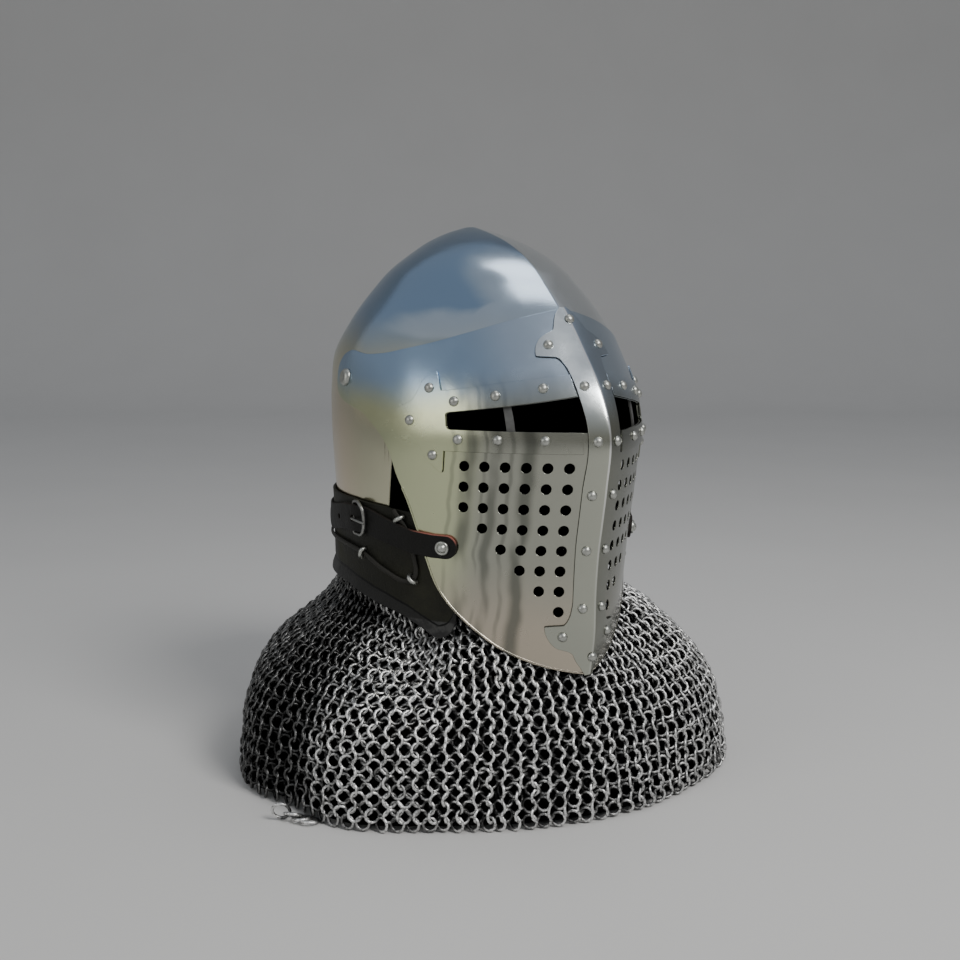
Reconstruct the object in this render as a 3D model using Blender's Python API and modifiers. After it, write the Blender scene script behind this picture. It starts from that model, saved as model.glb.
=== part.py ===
"""Visored helm with a mail skirt: keeled skull, pierced visor, leather collar and strap.

Metres, +Z up, standing on the hem of the mail at z = 0. The helm faces -Y and the
wearer's right is -X.
"""
import math

import bmesh
import bpy
import numpy as np
from mathutils import Matrix, Vector

OBJECT = "visored_helm"
MM = 0.001
GAP = 0.3 * MM            # left between pieces that touch
SIDES = (("right", -1), ("left", 1))

HELM_WIDTH = 238.0 * MM   # at the sights
HELM_FRONT = 189.5 * MM   # from the upright through the apex to the keel
HELM_BACK = 125.0 * MM    # and to the nape
HELM_TOP = 435.0 * MM
BROW_LEVEL = 340.0 * MM   # the dome above it stretches with the top
MAIL_REACH = 214.0 * MM   # widest reach of the hem from the upright

VISOR_WALL = 1.6 * MM
SKULL_WALL = 1.8 * MM
SKULL_INSET = 2.4 * MM    # skull below the outer form, which is the visor's
APPLIED_WALL = 1.2 * MM   # strip and sight bands on the visor
APPLIED_GAP = 0.6 * MM
LEATHER_WALL = 2.2 * MM
MAIL_WALL = 3.0 * MM

BREATH_PITCH = 15.0 * MM
BREATH_HOLE = 7.4 * MM
BREATH_FIRST_RUN = 26.3 * MM    # from the keel to the first column
BREATH_TOP = 257.3 * MM
BREATH_COLUMNS = (8, 7, 6, 5, 4, 3)

RUN_LEVEL = 250 * MM      # level at which runs along the form are measured

RIVET_HEAD = 6.4 * MM
RIVET_RISE = 2.2 * MM
STRAP_RIVET_HEAD = 11.0 * MM
PIVOT_HEAD = 13.5 * MM

STRAP_WIDTH = 20.0 * MM
STRAP_TAPER = 0.16              # share of its width that it loses towards the rivets
STRAP_START = 105.0 * MM        # along the form from the keel to the strap's first end
STRAP_TAIL = 50.0 * MM          # left past the buckle's bar
ROUNDED_END = 8.5 * MM
BUCKLE_WIRE = 2.6 * MM
BUCKLE_BAR_RUN = 206.0 * MM     # along the form from the keel to the buckle's bar
BUCKLE_LENGTH = 17.0 * MM
PUNCHED = ((-3, 5.2), (22, 4.0))    # holes: run past the bar and width (mm)
LACE_WIDTH = 2.4 * MM
STAPLE_WIRE = 1.8 * MM

# The outer form: level (mm), shares of the half width, the front and the back, and the
# keel's share of the front.
FORM = (
    (100, 0.908, 0.887, 0.968, 0.42),
    (135, 0.941, 0.921, 0.976, 0.39),
    (167, 0.954, 0.926, 0.968, 0.36),
    (198, 0.966, 0.942, 0.956, 0.35),
    (217, 0.975, 0.960, 0.952, 0.35),
    (243, 0.992, 0.984, 0.968, 0.35),
    (284, 1.000, 1.000, 1.000, 0.34),
    (309, 0.987, 0.945, 0.992, 0.32),
    (337, 0.937, 0.834, 0.952, 0.28),
    (353, 0.878, 0.765, 0.848, 0.25),
    (370, 0.790, 0.686, 0.744, 0.22),
    (386, 0.685, 0.596, 0.632, 0.20),
    (401.5, 0.567, 0.499, 0.508, 0.18),
    (414, 0.430, 0.386, 0.371, 0.16),
    (424, 0.286, 0.257, 0.262, 0.14),
    (432, 0.122, 0.108, 0.106, 0.10),
    (435, 0.034, 0.042, 0.016, 0.10),
)
MIDDLE_SHARE = 0.53       # of the length, from the front to the widest line

# Plate outlines: turn from the keel (degrees) and level (mm). The collar's lower edge runs
# from the left round the nape to the pointed tab on the right.
VISOR_TOP = ((0, 368), (20, 360), (36, 351), (51, 342.5), (60, 338.5), (69, 335),
             (77, 334), (88, 336.5), (93, 334), (97, 327), (99, 319))
VISOR_BOTTOM = ((0, 105), (6, 106.5), (14, 110), (21.5, 115.5), (28.5, 123), (34, 131.5),
                (40.5, 143.5), (45.5, 155), (49.5, 168), (53, 187), (56.5, 208), (60.5, 231),
                (64.5, 249), (66.5, 261), (69.5, 272.5), (74.5, 283), (80.5, 291.5),
                (88, 295.5), (93, 298), (97, 302), (99, 308))
BAND_TOP = ((0, 322), (7, 321), (22, 317), (35, 313), (47, 309.5), (47.6, 323), (50, 320.5),
            (52.5, 316), (55, 307.5), (57, 302), (61, 298), (63.6, 294), (64.8, 287.5))
BAND_BOTTOM = ((0, 268), (47.3, 268), (47.6, 252.5), (50.5, 257), (53.5, 264), (55.2, 271),
               (59, 273.5), (62, 276), (64.2, 279.5), (64.8, 283.5))
COLLAR_TOP = ((45, 216), (60, 219), (71, 222), (90, 224), (180, 222))
COLLAR_BOTTOM = ((43, 151), (120, 154), (180, 156), (242, 157), (263, 157), (278, 152),
                 (290, 146), (300, 137), (306, 130.5), (311, 125), (313.5, 127), (315, 130),
                 (317, 140))

# Keel strip: level and half width (mm), with the fleur ends as swells.
STRIP = ((105, 2.5), (111, 6), (117, 9.8), (121, 11.5), (123, 14), (125.5, 21.5),
         (130.5, 26), (137, 29), (141, 29.6), (142.5, 18.5), (146, 16.2), (151, 14.6),
         (161, 13.4), (180, 13.6), (213, 14.2), (238, 14.2), (267, 13), (284, 13),
         (307, 14.2), (321, 14.9), (326, 15.4), (331, 17), (333.2, 19), (334.2, 31),
         (339, 29.7), (345, 25.6), (349, 19.5), (351.5, 14.3), (356, 11.8), (362, 8.3),
         (367.5, 2.5))

# Sight: cut corners across the keel side and the cheek side, x and level (mm).
SIGHT = ((12.8, 282.5), (84.6, 283), (85.8, 285), (85.4, 293.5), (84, 294.7), (12.8, 307))
SIGHT_BAR_X = 55.7 * MM
SIGHT_BAR_WIDTH = 4.2 * MM
FACE = ((107, 150), (107, 268), (103, 289), (94, 303), (78, 310), (55, 313), (0, 315))

# Rivets of one side: name, distance from the mid plane and level (mm).
RIVETS = (
    ("band_top_1", 80.8, 302.3), ("band_top_2", 60.2, 306.6), ("band_top_3", 33.7, 311.8),
    ("band_low_1", 81.0, 276.2), ("band_low_2", 62.1, 276.6), ("band_low_3", 37.5, 276.6),
    ("fleur_top", 90.5, 311.2), ("fleur_mid", 101.0, 288.2), ("fleur_low", 92.0, 264.4),
    ("strip_1", 8.8, 313.3), ("strip_2", 7.4, 276.2), ("strip_3", 8.1, 238.4),
    ("strip_4", 7.4, 198.0), ("strip_5", 7.4, 155.4), ("lobe_low", 18.6, 134.3),
    ("lobe_top", 21.0, 341.3),
)
KEEL_RIVETS = (("keel_low", 119.4), ("keel_top", 359.0))
STRAP_RIVET = (116, 196.5)    # run from the keel and level (mm)
PIVOT = (91.4, 316)           # turn (degrees) and level (mm)

# Staples: name, turn (degrees), level (mm), and the lean of the lace through each (degrees).
STAPLES = (("rear", 80.8, 184, 15), ("front", 58, 169.5, -45), ("upper", 63.4, 214.5, 60))
# Lace on one side from the knot to the nape: turn (degrees), level and lift (mm).
LACE = ((65.5, 220.5, 1.8), (63.4, 214.5, 2.2), (62, 210, 1.55), (60.6, 205, 1.5), (59, 195, 1.5),
        (57.8, 186, 1.5), (57, 178, 1.6), (57, 173, 1.9), (58, 169.5, 2.2), (60.2, 167.2, 2.2),
        (63.5, 168, 2.2), (71, 175.5, 2.2), (80.8, 184, 2.2), (95, 187.5, 2.2), (112, 187.5, 2.0),
        (128, 187, 2.0), (155, 187, 2.0), (180, 187, 2.0))
# Strap centre line: run along the form from the keel and level (mm).
STRAP_LINE = ((105, 196.8), (125, 197), (142, 198.7), (163, 203.8), (182, 208.5), (198, 210.7),
              (217, 210), (240, 206.5), (265, 202.8), (285, 201.5), (330, 201), (420, 201))

# Buckle's prong: run past the bar and lift (mm).
PRONG_LINE = ((-2, 5.2), (-3.4, 6.9), (-6, 7.9), (-11, 8.2), (-16, 8.2), (-20, 7.9))

# Mail skirt: the neck as shares of the helm's half width, front and back.
NECK = (0.904, 0.549, 0.931)
# Share of the hem's reach by turn (degrees), and of that reach by level (mm).
HEM = ((-180, 0.888), (-150, 0.869), (-125, 0.879), (-108, 0.883), (-92, 0.916), (-78, 0.949),
       (-68, 0.944), (-59, 0.916), (-50, 0.888), (-39, 0.864), (-28, 0.850), (-17, 0.855),
       (-8, 0.864), (2, 0.883), (14, 0.907), (28, 0.939), (39, 0.972), (51, 1.000),
       (62, 0.995), (75, 0.972), (90, 0.944), (110, 0.916), (132, 0.893), (155, 0.883),
       (180, 0.888))
FLARE = ((0, 1.0), (20, 0.985), (40, 0.955), (57, 0.92), (70, 0.87), (84, 0.8), (98, 0.71),
         (110, 0.61), (121, 0.5), (132, 0.37), (142, 0.2), (150, 0.07), (157, 0.0), (164, 0.0))
# Level at which the mail starts to flare under the leather, by turn (degrees, mm).
MAIL_EDGE = ((-180, 152), (-115, 150), (-92, 145), (-76, 139), (-63, 131), (-56, 124),
             (-50, 119), (-44, 122), (-38, 134), (-28, 148), (0, 146), (15, 138), (28, 136),
             (36, 138), (45, 146), (60, 148), (180, 152))
# Folds: turn and half spread (degrees), and rise of the wall at the hem (mm).
FOLDS = ((-55, 10, 4.0), (-74, 10, -14.0), (-98, 14, 2.0), (-140, 14, -5.0), (-165, 12, 3.0),
         (90, 12, -5.0), (116, 14, 5.0), (150, 13, -5.0), (20, 14, -2.0))


def smooth(table, column, at):
    """Reads a column of a table as a smooth curve through its rows."""
    rows = np.array(table, float)
    rows = rows[np.argsort(rows[:, 0])]
    x, y = rows[:, 0], rows[:, column]
    slope = np.gradient(y, x)
    i = int(np.clip(np.searchsorted(x, at) - 1, 0, len(x) - 2))
    span = x[i + 1] - x[i]
    t = min(max((at - x[i]) / span, 0.0), 1.0)
    return float((1 + 2 * t) * (1 - t) ** 2 * y[i] + t * (1 - t) ** 2 * span * slope[i]
                 + t * t * (3 - 2 * t) * y[i + 1] + t * t * (t - 1) * span * slope[i + 1])


def straight(table, at):
    """Reads a two-column table with straight lines between its rows."""
    rows = np.array(table, float)
    return float(np.interp(at, rows[:, 0], rows[:, 1]))


def ease(at, start, end):
    """A smooth step from 0 at start to 1 at end."""
    t = min(max((at - start) / (end - start), 0.0), 1.0)
    return t * t * (3 - 2 * t)


def form(turn, level):
    """A point of the outer form: turn from the keel (radians), level (metres)."""
    half, front, back, keel = (smooth(FORM, c, level / MM) * size for c, size in
                               ((1, HELM_WIDTH / 2), (2, HELM_FRONT), (3, HELM_BACK), (4, 1)))
    stretch = (HELM_TOP - BROW_LEVEL) / (FORM[-1][0] * MM - BROW_LEVEL)
    height = level + max(0.0, level - BROW_LEVEL) * (stretch - 1)
    middle = -front + MIDDLE_SHARE * (front + back)
    s, c = abs(math.sin(turn)), math.cos(turn)
    if c >= 0:
        y = -front + (middle + front) * (keel * s + (1 - keel) * (1 - c))
    else:
        y = middle - (back - middle) * c
    return Vector((half * math.sin(turn), y, height))


def skin(turn, level, out=0.0):
    """A point that stands out from the form by a distance."""
    step = 0.004
    across = form(turn + step, level) - form(turn - step, level)
    upward = form(turn, level + 0.4 * MM) - form(turn, level - 0.4 * MM)
    return form(turn, level) + across.cross(upward).normalized() * out


def front_turn(x, level):
    """The turn of a point on the front half that lies this far from the mid plane."""
    return math.asin(max(-1.0, min(1.0, x / (smooth(FORM, 1, level / MM) * HELM_WIDTH / 2))))


TURNS = np.radians(np.linspace(0, 180, 721))
RING = [form(t, RUN_LEVEL) for t in TURNS]
RUNS = np.concatenate([[0.0], np.cumsum([(b - a).length for a, b in zip(RING, RING[1:])])])


def turn_at(run):
    """The turn that lies this far from the keel along the form at the sights."""
    return math.copysign(float(np.interp(abs(run), RUNS, TURNS)), run)


def seat(turn, level, out, lean=0.0):
    """A placing on the form with its Z outward and its Y up the form, leant about Z."""
    here = skin(turn, level, out)
    normal = (skin(turn, level, out + MM) - here).normalized()
    side = Vector((0, 0, 1)).cross(normal).normalized()
    turned = Matrix((side, normal.cross(side), normal)).transposed()
    return Matrix.Translation(here) @ turned.to_4x4() @ Matrix.Rotation(lean, 4, "Z")


def material(name, colour, metallic, roughness):
    made = bpy.data.materials.new(name)
    made.use_nodes = True
    made.diffuse_color = (*colour, 1)
    shader = made.node_tree.nodes["Principled BSDF"]
    shader.inputs["Base Color"].default_value = (*colour, 1)
    shader.inputs["Metallic"].default_value = metallic
    shader.inputs["Roughness"].default_value = roughness
    return made


def add(name, mesh, colour, metallic=1.0, roughness=0.3):
    made = bpy.data.objects.new(name, mesh)
    parts.objects.link(made)
    mesh.materials.append(material(name, colour, metallic, roughness))
    mesh.polygons.foreach_set("use_smooth", [True] * len(mesh.polygons))
    return made


def sheet(name, grid, wall, colour, metallic=1.0, roughness=0.3, closed=False, apex=None):
    """A loft of point columns, given a wall inward; closed joins its last and first column."""
    bm = bmesh.new()
    columns = [[bm.verts.new(p) for p in column] for column in grid]
    pairs = list(zip(columns, columns[1:] + columns[:1])) if closed else \
        list(zip(columns, columns[1:]))
    for here, there in pairs:
        for j in range(len(here) - 1):
            bm.faces.new((here[j], there[j], there[j + 1], here[j + 1]))
    if apex is not None:
        top = bm.verts.new(apex)
        for here, there in pairs:
            bm.faces.new((here[-1], there[-1], top))
    mesh = bpy.data.meshes.new(name)
    bm.to_mesh(mesh)
    bm.free()
    made = add(name, mesh, colour, metallic, roughness)
    solid = made.modifiers.new("wall", "SOLIDIFY")
    solid.thickness, solid.offset, solid.use_even_offset = wall, -1, True
    return made


def plate(name, turns, low, high, shares, out, wall, colour, **more):
    """A sheet on the form between two outlines, both read by turn."""
    grid = []
    for turn in turns:
        low_level, high_level = (straight(t, abs(turn)) * MM for t in (low, high))
        grid.append([skin(math.radians(turn), low_level + (high_level - low_level) * s, out)
                     for s in shares])
    return sheet(name, grid, wall, colour, **more)


def turned(name, profile, steps, colour, metallic=1.0, roughness=0.25):
    """A round solid from a profile that runs from the axis down its outer side."""
    bm = bmesh.new()
    points = [bm.verts.new((r, 0, z)) for r, z in profile]
    for a, b in zip(points, points[1:]):
        bm.edges.new((a, b))
    mesh = bpy.data.meshes.new(name)
    bm.to_mesh(mesh)
    bm.free()
    made = add(name, mesh, colour, metallic, roughness)
    spin = made.modifiers.new("turned", "SCREW")
    spin.steps = spin.render_steps = steps
    spin.use_merge_vertices, spin.merge_threshold = True, 0.00005
    spin.use_smooth_shade = True
    return made


def dome(name, head, rise, place, steps, colour):
    """A rivet head: a domed cap with a flat underside."""
    half = head / 2
    profile = ((0, rise), (half * 0.66, rise * 0.72), (half, 0), (0, 0))
    made = turned(name, profile, steps, colour)
    made.matrix_world = place
    return made


def wire(name, points, radius, colour, metallic=1.0, roughness=0.35, closed=False, sides=2):
    """A round wire through points."""
    curve = bpy.data.curves.new(name, "CURVE")
    curve.dimensions = "3D"
    curve.bevel_depth, curve.bevel_resolution, curve.use_fill_caps = radius, sides, not closed
    line = curve.splines.new("POLY")
    line.points.add(len(points) - 1)
    for place, point in zip(line.points, points):
        place.co = (*point, 1)
    line.use_cyclic_u = closed
    made = bpy.data.objects.new(name + "_curve", curve)
    cutters.objects.link(made)
    mesh = bpy.data.meshes.new_from_object(
        made.evaluated_get(bpy.context.evaluated_depsgraph_get()))
    bpy.data.objects.remove(made)
    bm = bmesh.new()
    bm.from_mesh(mesh)
    bmesh.ops.remove_doubles(bm, verts=bm.verts, dist=0.00001)
    bmesh.ops.recalc_face_normals(bm, faces=bm.faces)
    bm.to_mesh(mesh)
    bm.free()
    mesh.materials.clear()
    return add(name, mesh, colour, metallic, roughness)


def prism(name, outline, near, far):
    """A cutter along Y from an outline in x and level."""
    bm = bmesh.new()
    face = bm.faces.new([bm.verts.new((x, near, z)) for x, z in outline])
    pushed = bmesh.ops.extrude_face_region(bm, geom=[face])
    bmesh.ops.translate(bm, vec=(0, far - near, 0),
                        verts=[v for v in pushed["geom"] if isinstance(v, bmesh.types.BMVert)])
    return cutter(name, bm)


def cutter(name, bm):
    bmesh.ops.recalc_face_normals(bm, faces=bm.faces)
    mesh = bpy.data.meshes.new(name)
    bm.to_mesh(mesh)
    bm.free()
    made = bpy.data.objects.new(name, mesh)
    cutters.objects.link(made)
    made.hide_render, made.display_type = True, "WIRE"
    return made


def drill(name, places, size, depth, steps):
    """A cutter of one round pin at each placing."""
    bm = bmesh.new()
    for place in places:
        bmesh.ops.create_cone(bm, cap_ends=True, segments=steps, radius1=size / 2,
                              radius2=size / 2, depth=depth, matrix=place)
    return cutter(name, bm)


def cut(made, *tools):
    for tool in tools:
        boolean = made.modifiers.new(tool.name, "BOOLEAN")
        boolean.operation, boolean.solver, boolean.object = "DIFFERENCE", "EXACT", tool


for old in list(bpy.data.objects):
    bpy.data.objects.remove(old, do_unlink=True)
parts = bpy.data.collections.new(OBJECT)
cutters = bpy.data.collections.new("cutters")
for group in (parts, cutters):
    bpy.context.scene.collection.children.link(group)

DRILL_DEPTH = 12 * MM
SKULL_COLUMNS = 26
APEX = form(0, FORM[-1][0] * MM) + Vector((0, 2, -1.6)) * MM
SKIRT_COLUMNS = 36
STEEL = (0.62, 0.63, 0.65)
BRIGHT = (0.72, 0.73, 0.74)
LEATHER = (0.035, 0.03, 0.024)
LACE_BLACK = (0.02, 0.018, 0.016)
MAIL = (0.30, 0.30, 0.31)

# Skull, with its face opening cut from the front.
levels = (168, 200, 230, 258, 284, 308, 328, 346, 363, 379, 394, 408, 420, 430)
skull_turns = np.radians(np.arange(SKULL_COLUMNS) * 360 / SKULL_COLUMNS)
skull = sheet("skull", [[skin(t, z * MM, -SKULL_INSET) for z in levels] for t in skull_turns],
              SKULL_WALL, STEEL, closed=True, apex=APEX)
face = [(s * x * MM, z * MM) for s, row in ((1, FACE), (-1, FACE[-2::-1])) for x, z in row]
cut(skull, prism("face_opening", face, -0.26, -0.03))

# Visor plate, with its sights and breath holes.
visor_turns = [-99, -97, -93, *np.linspace(-88, 88, 33), 93, 97, 99]
visor_shares = (0, 0.13, 0.24, 0.34, 0.45, 0.57, 0.67, 0.76, 0.85, 0.93, 1)
visor = plate("visor_plate", visor_turns, VISOR_BOTTOM, VISOR_TOP, visor_shares, 0.0,
              VISOR_WALL, STEEL)
holes = [seat(turn_at(s * (BREATH_FIRST_RUN + i * BREATH_PITCH)), BREATH_TOP - j * BREATH_PITCH,
              0.0) for _, s in SIDES for i, count in enumerate(BREATH_COLUMNS)
         for j in range(count)]
breath = drill("breath_holes", holes, BREATH_HOLE, DRILL_DEPTH, 6)
sights = {side: prism("sight_" + side, [(s * x * MM, z * MM) for x, z in SIGHT], -0.25, -0.06)
          for side, s in SIDES}
cut(visor, breath, *sights.values())

# Keel strip with its fleur ends.
strip_rows = sorted({z for z, half in STRIP} | {169, 196, 252, 275, 294, 301, 314})
strip_grid = [[skin(front_turn(share * straight(STRIP, z) * MM, z * MM), z * MM,
                    APPLIED_GAP + APPLIED_WALL) for z in strip_rows]
              for share in (-1, -0.5, 0, 0.5, 1)]
sheet("keel_strip", strip_grid, APPLIED_WALL, BRIGHT)

# Sight bands, from the strip's edge to the side fleur.
band_turns = (7.6, 10, 15, 20, 25, 30, 35, 39.5, 44, 47.2, 47.7, 50, 52.5, 55, 57, 59, 61,
              62.6, 64, 64.8)
for side, s in SIDES:
    turns = [s * t for t in band_turns][::s]
    band = plate("sight_band_" + side, turns, BAND_BOTTOM, BAND_TOP,
                 (0, 0.25, 0.5, 0.75, 1), APPLIED_GAP + APPLIED_WALL, APPLIED_WALL, BRIGHT)
    cut(band, sights[side])
    bar = [[skin(front_turn(s * (SIGHT_BAR_X + e * s * SIGHT_BAR_WIDTH / 2), z * MM), z * MM,
                 -VISOR_WALL - 3 * GAP) for z in (278, 284, 290, 296, 302, 307)] for e in (-1, 1)]
    sheet("sight_bar_" + side, bar, 1.5 * MM, STEEL)

# Rivets, pivots and strap rivets.
proud = APPLIED_GAP + APPLIED_WALL + 1.5 * GAP
for name, x, z in RIVETS:
    for side, s in SIDES:
        place = seat(front_turn(s * x * MM, z * MM), z * MM, proud)
        dome(f"rivet_{side}_{name}", RIVET_HEAD, RIVET_RISE, place, 6, BRIGHT)
for name, z in KEEL_RIVETS:
    dome("rivet_" + name, RIVET_HEAD, RIVET_RISE, seat(0, z * MM, proud), 6, BRIGHT)
for side, s in SIDES:
    place = seat(s * math.radians(PIVOT[0]), PIVOT[1] * MM, GAP)
    dome("pivot_" + side, PIVOT_HEAD, 3.2 * MM, place, 16, STEEL)
    place = seat(turn_at(s * STRAP_RIVET[0] * MM), STRAP_RIVET[1] * MM, 3 * GAP + LEATHER_WALL)
    dome("strap_rivet_" + side, STRAP_RIVET_HEAD, 3.4 * MM, place, 12, BRIGHT)


# Leather collar. It dips under the visor's rear edge.
def collar_out(turn):
    """Lift of the leather's outer face by the turn from the keel in degrees."""
    return 0.6 * MM - 3.0 * MM * (1 - ease(turn, 59, 72))


collar_half = (43, 45, 46.5, 49, 54, 60, 64, 68, 72, *np.linspace(78, 174, 15))
collar_turns = list(collar_half) + [180] + [360 - t for t in collar_half[::-1]]
collar_grid = []
for turn in collar_turns:
    flat = min(turn, 360 - turn)
    low, high = straight(COLLAR_BOTTOM, turn), straight(COLLAR_TOP, flat)
    collar_grid.append([
        skin(math.radians(turn), (low + (high - low) * share) * MM,
             collar_out(flat) + flare * MM * ease(flat, 60, 75))
        for share, flare in ((0, 2.8), (0.14, 0.8), (0.4, 0), (0.7, 0), (1, 0))])
sheet("collar", collar_grid, LEATHER_WALL, LEATHER, 0.0, 0.65)


# Strap. The visor's part runs through the buckle and over the nape's part.
def strap_out(run):
    """Outer lift of a strap that leaves the visor and lies on the collar."""
    return GAP + LEATHER_WALL + 0.9 * MM * ease(run, 122, 150)


bar_run = BUCKLE_BAR_RUN / MM


def tail_out(run):
    """The visor's part also climbs over the buckle's bar."""
    climb = ease(run, bar_run - 15, bar_run - 2) * 3.0
    return strap_out(run) + (climb - 0.4 * ease(run, bar_run + 3, bar_run + 11)) * MM


def strap_half(run):
    """Half the strap's width, less towards its rivets."""
    return STRAP_WIDTH / 2 * (1 - STRAP_TAPER * (1 - ease(run, 140, 195)))


def strap_column(turn, run, out, end):
    """Points across the strap, with its corners rounded near an end."""
    rounding = max(0.0, 1 - abs(run * MM - end) / ROUNDED_END)
    half = strap_half(run) * math.sqrt(max(0.12, 1 - rounding ** 2))
    centre = straight(STRAP_LINE, run) * MM
    return [skin(turn, centre + half * share, out) for share in (-1, 0, 1)]


tail_end = BUCKLE_BAR_RUN + STRAP_TAIL
start_runs = [STRAP_START / MM + past for past in (0.5, 2, 4, 7, 11, 17, 25, 33, 42)]
tail_runs = [*start_runs, *np.linspace(start_runs[-1] + 9, bar_run - 19, 5),
             *(bar_run + past for past in (-14, -10, -6, -2, 3, 7, 11, 17, 25, 33)),
             *(tail_end / MM - short for short in (9, 5, 2, 0.5))]
tail_grid = [strap_column(turn_at(-run * MM), run, tail_out(run),
                          STRAP_START if run < bar_run - 33 else tail_end)
             for run in tail_runs[::-1]]
visor_strap = sheet("visor_strap", tail_grid, LEATHER_WALL, LEATHER, 0.0, 0.6)
for past, size in PUNCHED:
    run = bar_run + past
    place = seat(turn_at(-run * MM), straight(STRAP_LINE, run) * MM,
                 tail_out(run) - LEATHER_WALL / 2)
    cut(visor_strap, drill(f"punched_{past}", [place], size * MM, DRILL_DEPTH, 10))
total = 2 * RUNS[-1] / MM
nape_runs = [*start_runs, 158, 172, 188, 206, *np.linspace(224, total - bar_run - 21, 24),
             total - bar_run - 12, total - bar_run - 2]
nape_grid = []
for run in nape_runs:
    on_left = run <= total / 2
    from_keel = run if on_left else total - run
    turn = turn_at(from_keel * MM) if on_left else 2 * math.pi - turn_at(from_keel * MM)
    nape_grid.append(strap_column(turn, from_keel, strap_out(from_keel),
                                  STRAP_START if on_left else 0))
sheet("nape_strap", nape_grid, LEATHER_WALL, LEATHER, 0.0, 0.6)

# Buckle: a wire frame in a D, its bar under the tail and its nose over the strap.
bar_out = 1.2 * MM + BUCKLE_WIRE / 2
nose_out = 1.2 * MM + LEATHER_WALL + GAP + BUCKLE_WIRE / 2


def buckle_point(along, across):
    """A point of the frame: share from the bar to the nose, and distance across."""
    run = BUCKLE_BAR_RUN - along * BUCKLE_LENGTH
    level = straight(STRAP_LINE, run / MM) * MM + across
    return skin(turn_at(-run), level, bar_out + (nose_out - bar_out) * ease(along, 0.25, 0.85)
                + 0.2 * MM)


half = STRAP_WIDTH / 2 + 2.6 * MM
d_shape = [(0, -0.85), (0, -0.4), (0, 0), (0, 0.4), (0, 0.85), (0.06, 0.97), (0.2, 1),
           (0.45, 1), (0.7, 0.95), (0.88, 0.78), (0.97, 0.5), (1, 0.2), (1, -0.2),
           (0.97, -0.5), (0.88, -0.78), (0.7, -0.95), (0.45, -1), (0.2, -1), (0.06, -0.97)]
frame_wire = [buckle_point(a, b * half) for a, b in d_shape]
wire("buckle_frame", frame_wire, BUCKLE_WIRE / 2, (0.25, 0.25, 0.25), closed=True, sides=1)
wire("buckle_prong", [skin(turn_at(-(bar_run + r) * MM), straight(STRAP_LINE, bar_run + r) * MM,
                           o * MM) for r, o in PRONG_LINE], 0.9 * MM, (0.25, 0.25, 0.25), sides=1)

# Lace round the nape through its staples.
lace_table = [(i, *row) for i, row in enumerate(LACE)]
lace_half = []
for i, (row, after) in enumerate(zip(LACE, LACE[1:])):
    count = max(1, round(abs(after[0] - row[0]) / 8))
    for k in range(count):
        turn, level, lift = (smooth(lace_table, c, i + k / count) for c in (1, 2, 3))
        lace_half.append((turn, level, collar_out(turn) + lift * MM))
lace_half.append((180, LACE[-1][1], collar_out(180) + LACE[-1][2] * MM))
lace_line = [(math.radians(-t), z, o) for t, z, o in lace_half]
lace_line += [(math.radians(t - 360), z, o) for t, z, o in lace_half[-2::-1]]
wire("lace", [skin(t, z * MM, o) for t, z, o in lace_line], LACE_WIDTH / 2, LACE_BLACK, 0.0, 0.7,
     sides=0)
for name, turn, level, lean in STAPLES:
    for side, s in SIDES:
        foot = collar_out(turn) + GAP + (0.5 * MM if turn < 72 else 0)
        place = seat(s * math.radians(turn), level * MM, foot, math.radians(s * lean))
        arch = [(0, 3.4 * math.cos(a), 1.6 + 3.0 * math.sin(a)) for a in np.linspace(0, math.pi, 6)]
        arch = [(0, 3.4, 0), *arch, (0, -3.4, 0)]
        wire(f"staple_{side}_{name}", [place @ (Vector(p) * MM) for p in arch], STAPLE_WIRE / 2,
             STEEL, sides=0)


# Mail skirt: a hollow wall with folds, cut flat at the hem.
def skirt_point(turn, level):
    read = level + (156 - straight(MAIL_EDGE, turn)) * ease(level, 55, 115)
    share = smooth(FLARE, 1, min(read, 164))
    rise = sum(r * math.exp(-(((turn - t + 180) % 360 - 180) / w) ** 2) for t, w, r in FOLDS)
    a = math.radians(turn)
    way = Vector((math.sin(a), -math.cos(a), 0))
    half, front, back = (share * size for share, size in
                         zip(NECK, (HELM_WIDTH / 2, HELM_FRONT, HELM_BACK)))
    neck = 1 / math.hypot(way.x / half, way.y / (front if way.y < 0 else back))
    reach = neck + (smooth(HEM, 1, turn) * MAIL_REACH - neck + rise * MM) * share
    return way * reach + Vector((0, 0, level * MM))


skirt_levels = (-6, 20, 48, 75, 98, 117, 133, 147, 163)
skirt_grid = []
for turn in np.arange(SKIRT_COLUMNS) * 360 / SKIRT_COLUMNS - 180:
    column = [skirt_point(turn, max(z, 0)) for z in skirt_levels]
    column[0].z = -6 * MM
    skirt_grid.append(column)
skirt = sheet("mail_skirt", skirt_grid, MAIL_WALL, MAIL, 0.9, 0.45, closed=True)
below = bmesh.new()
bmesh.ops.create_cube(below, size=1, matrix=Matrix.Translation((0, 0, -0.05))
                      @ Matrix.Diagonal((0.6, 0.6, 0.1, 1)))
cut(skirt, cutter("below_hem", below))
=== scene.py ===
"""Visored helm with a mail skirt: its looks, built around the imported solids."""
import math

import bmesh
import bpy
import numpy as np
from mathutils import Matrix, Vector
from mathutils.geometry import delaunay_2d_cdt


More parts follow.
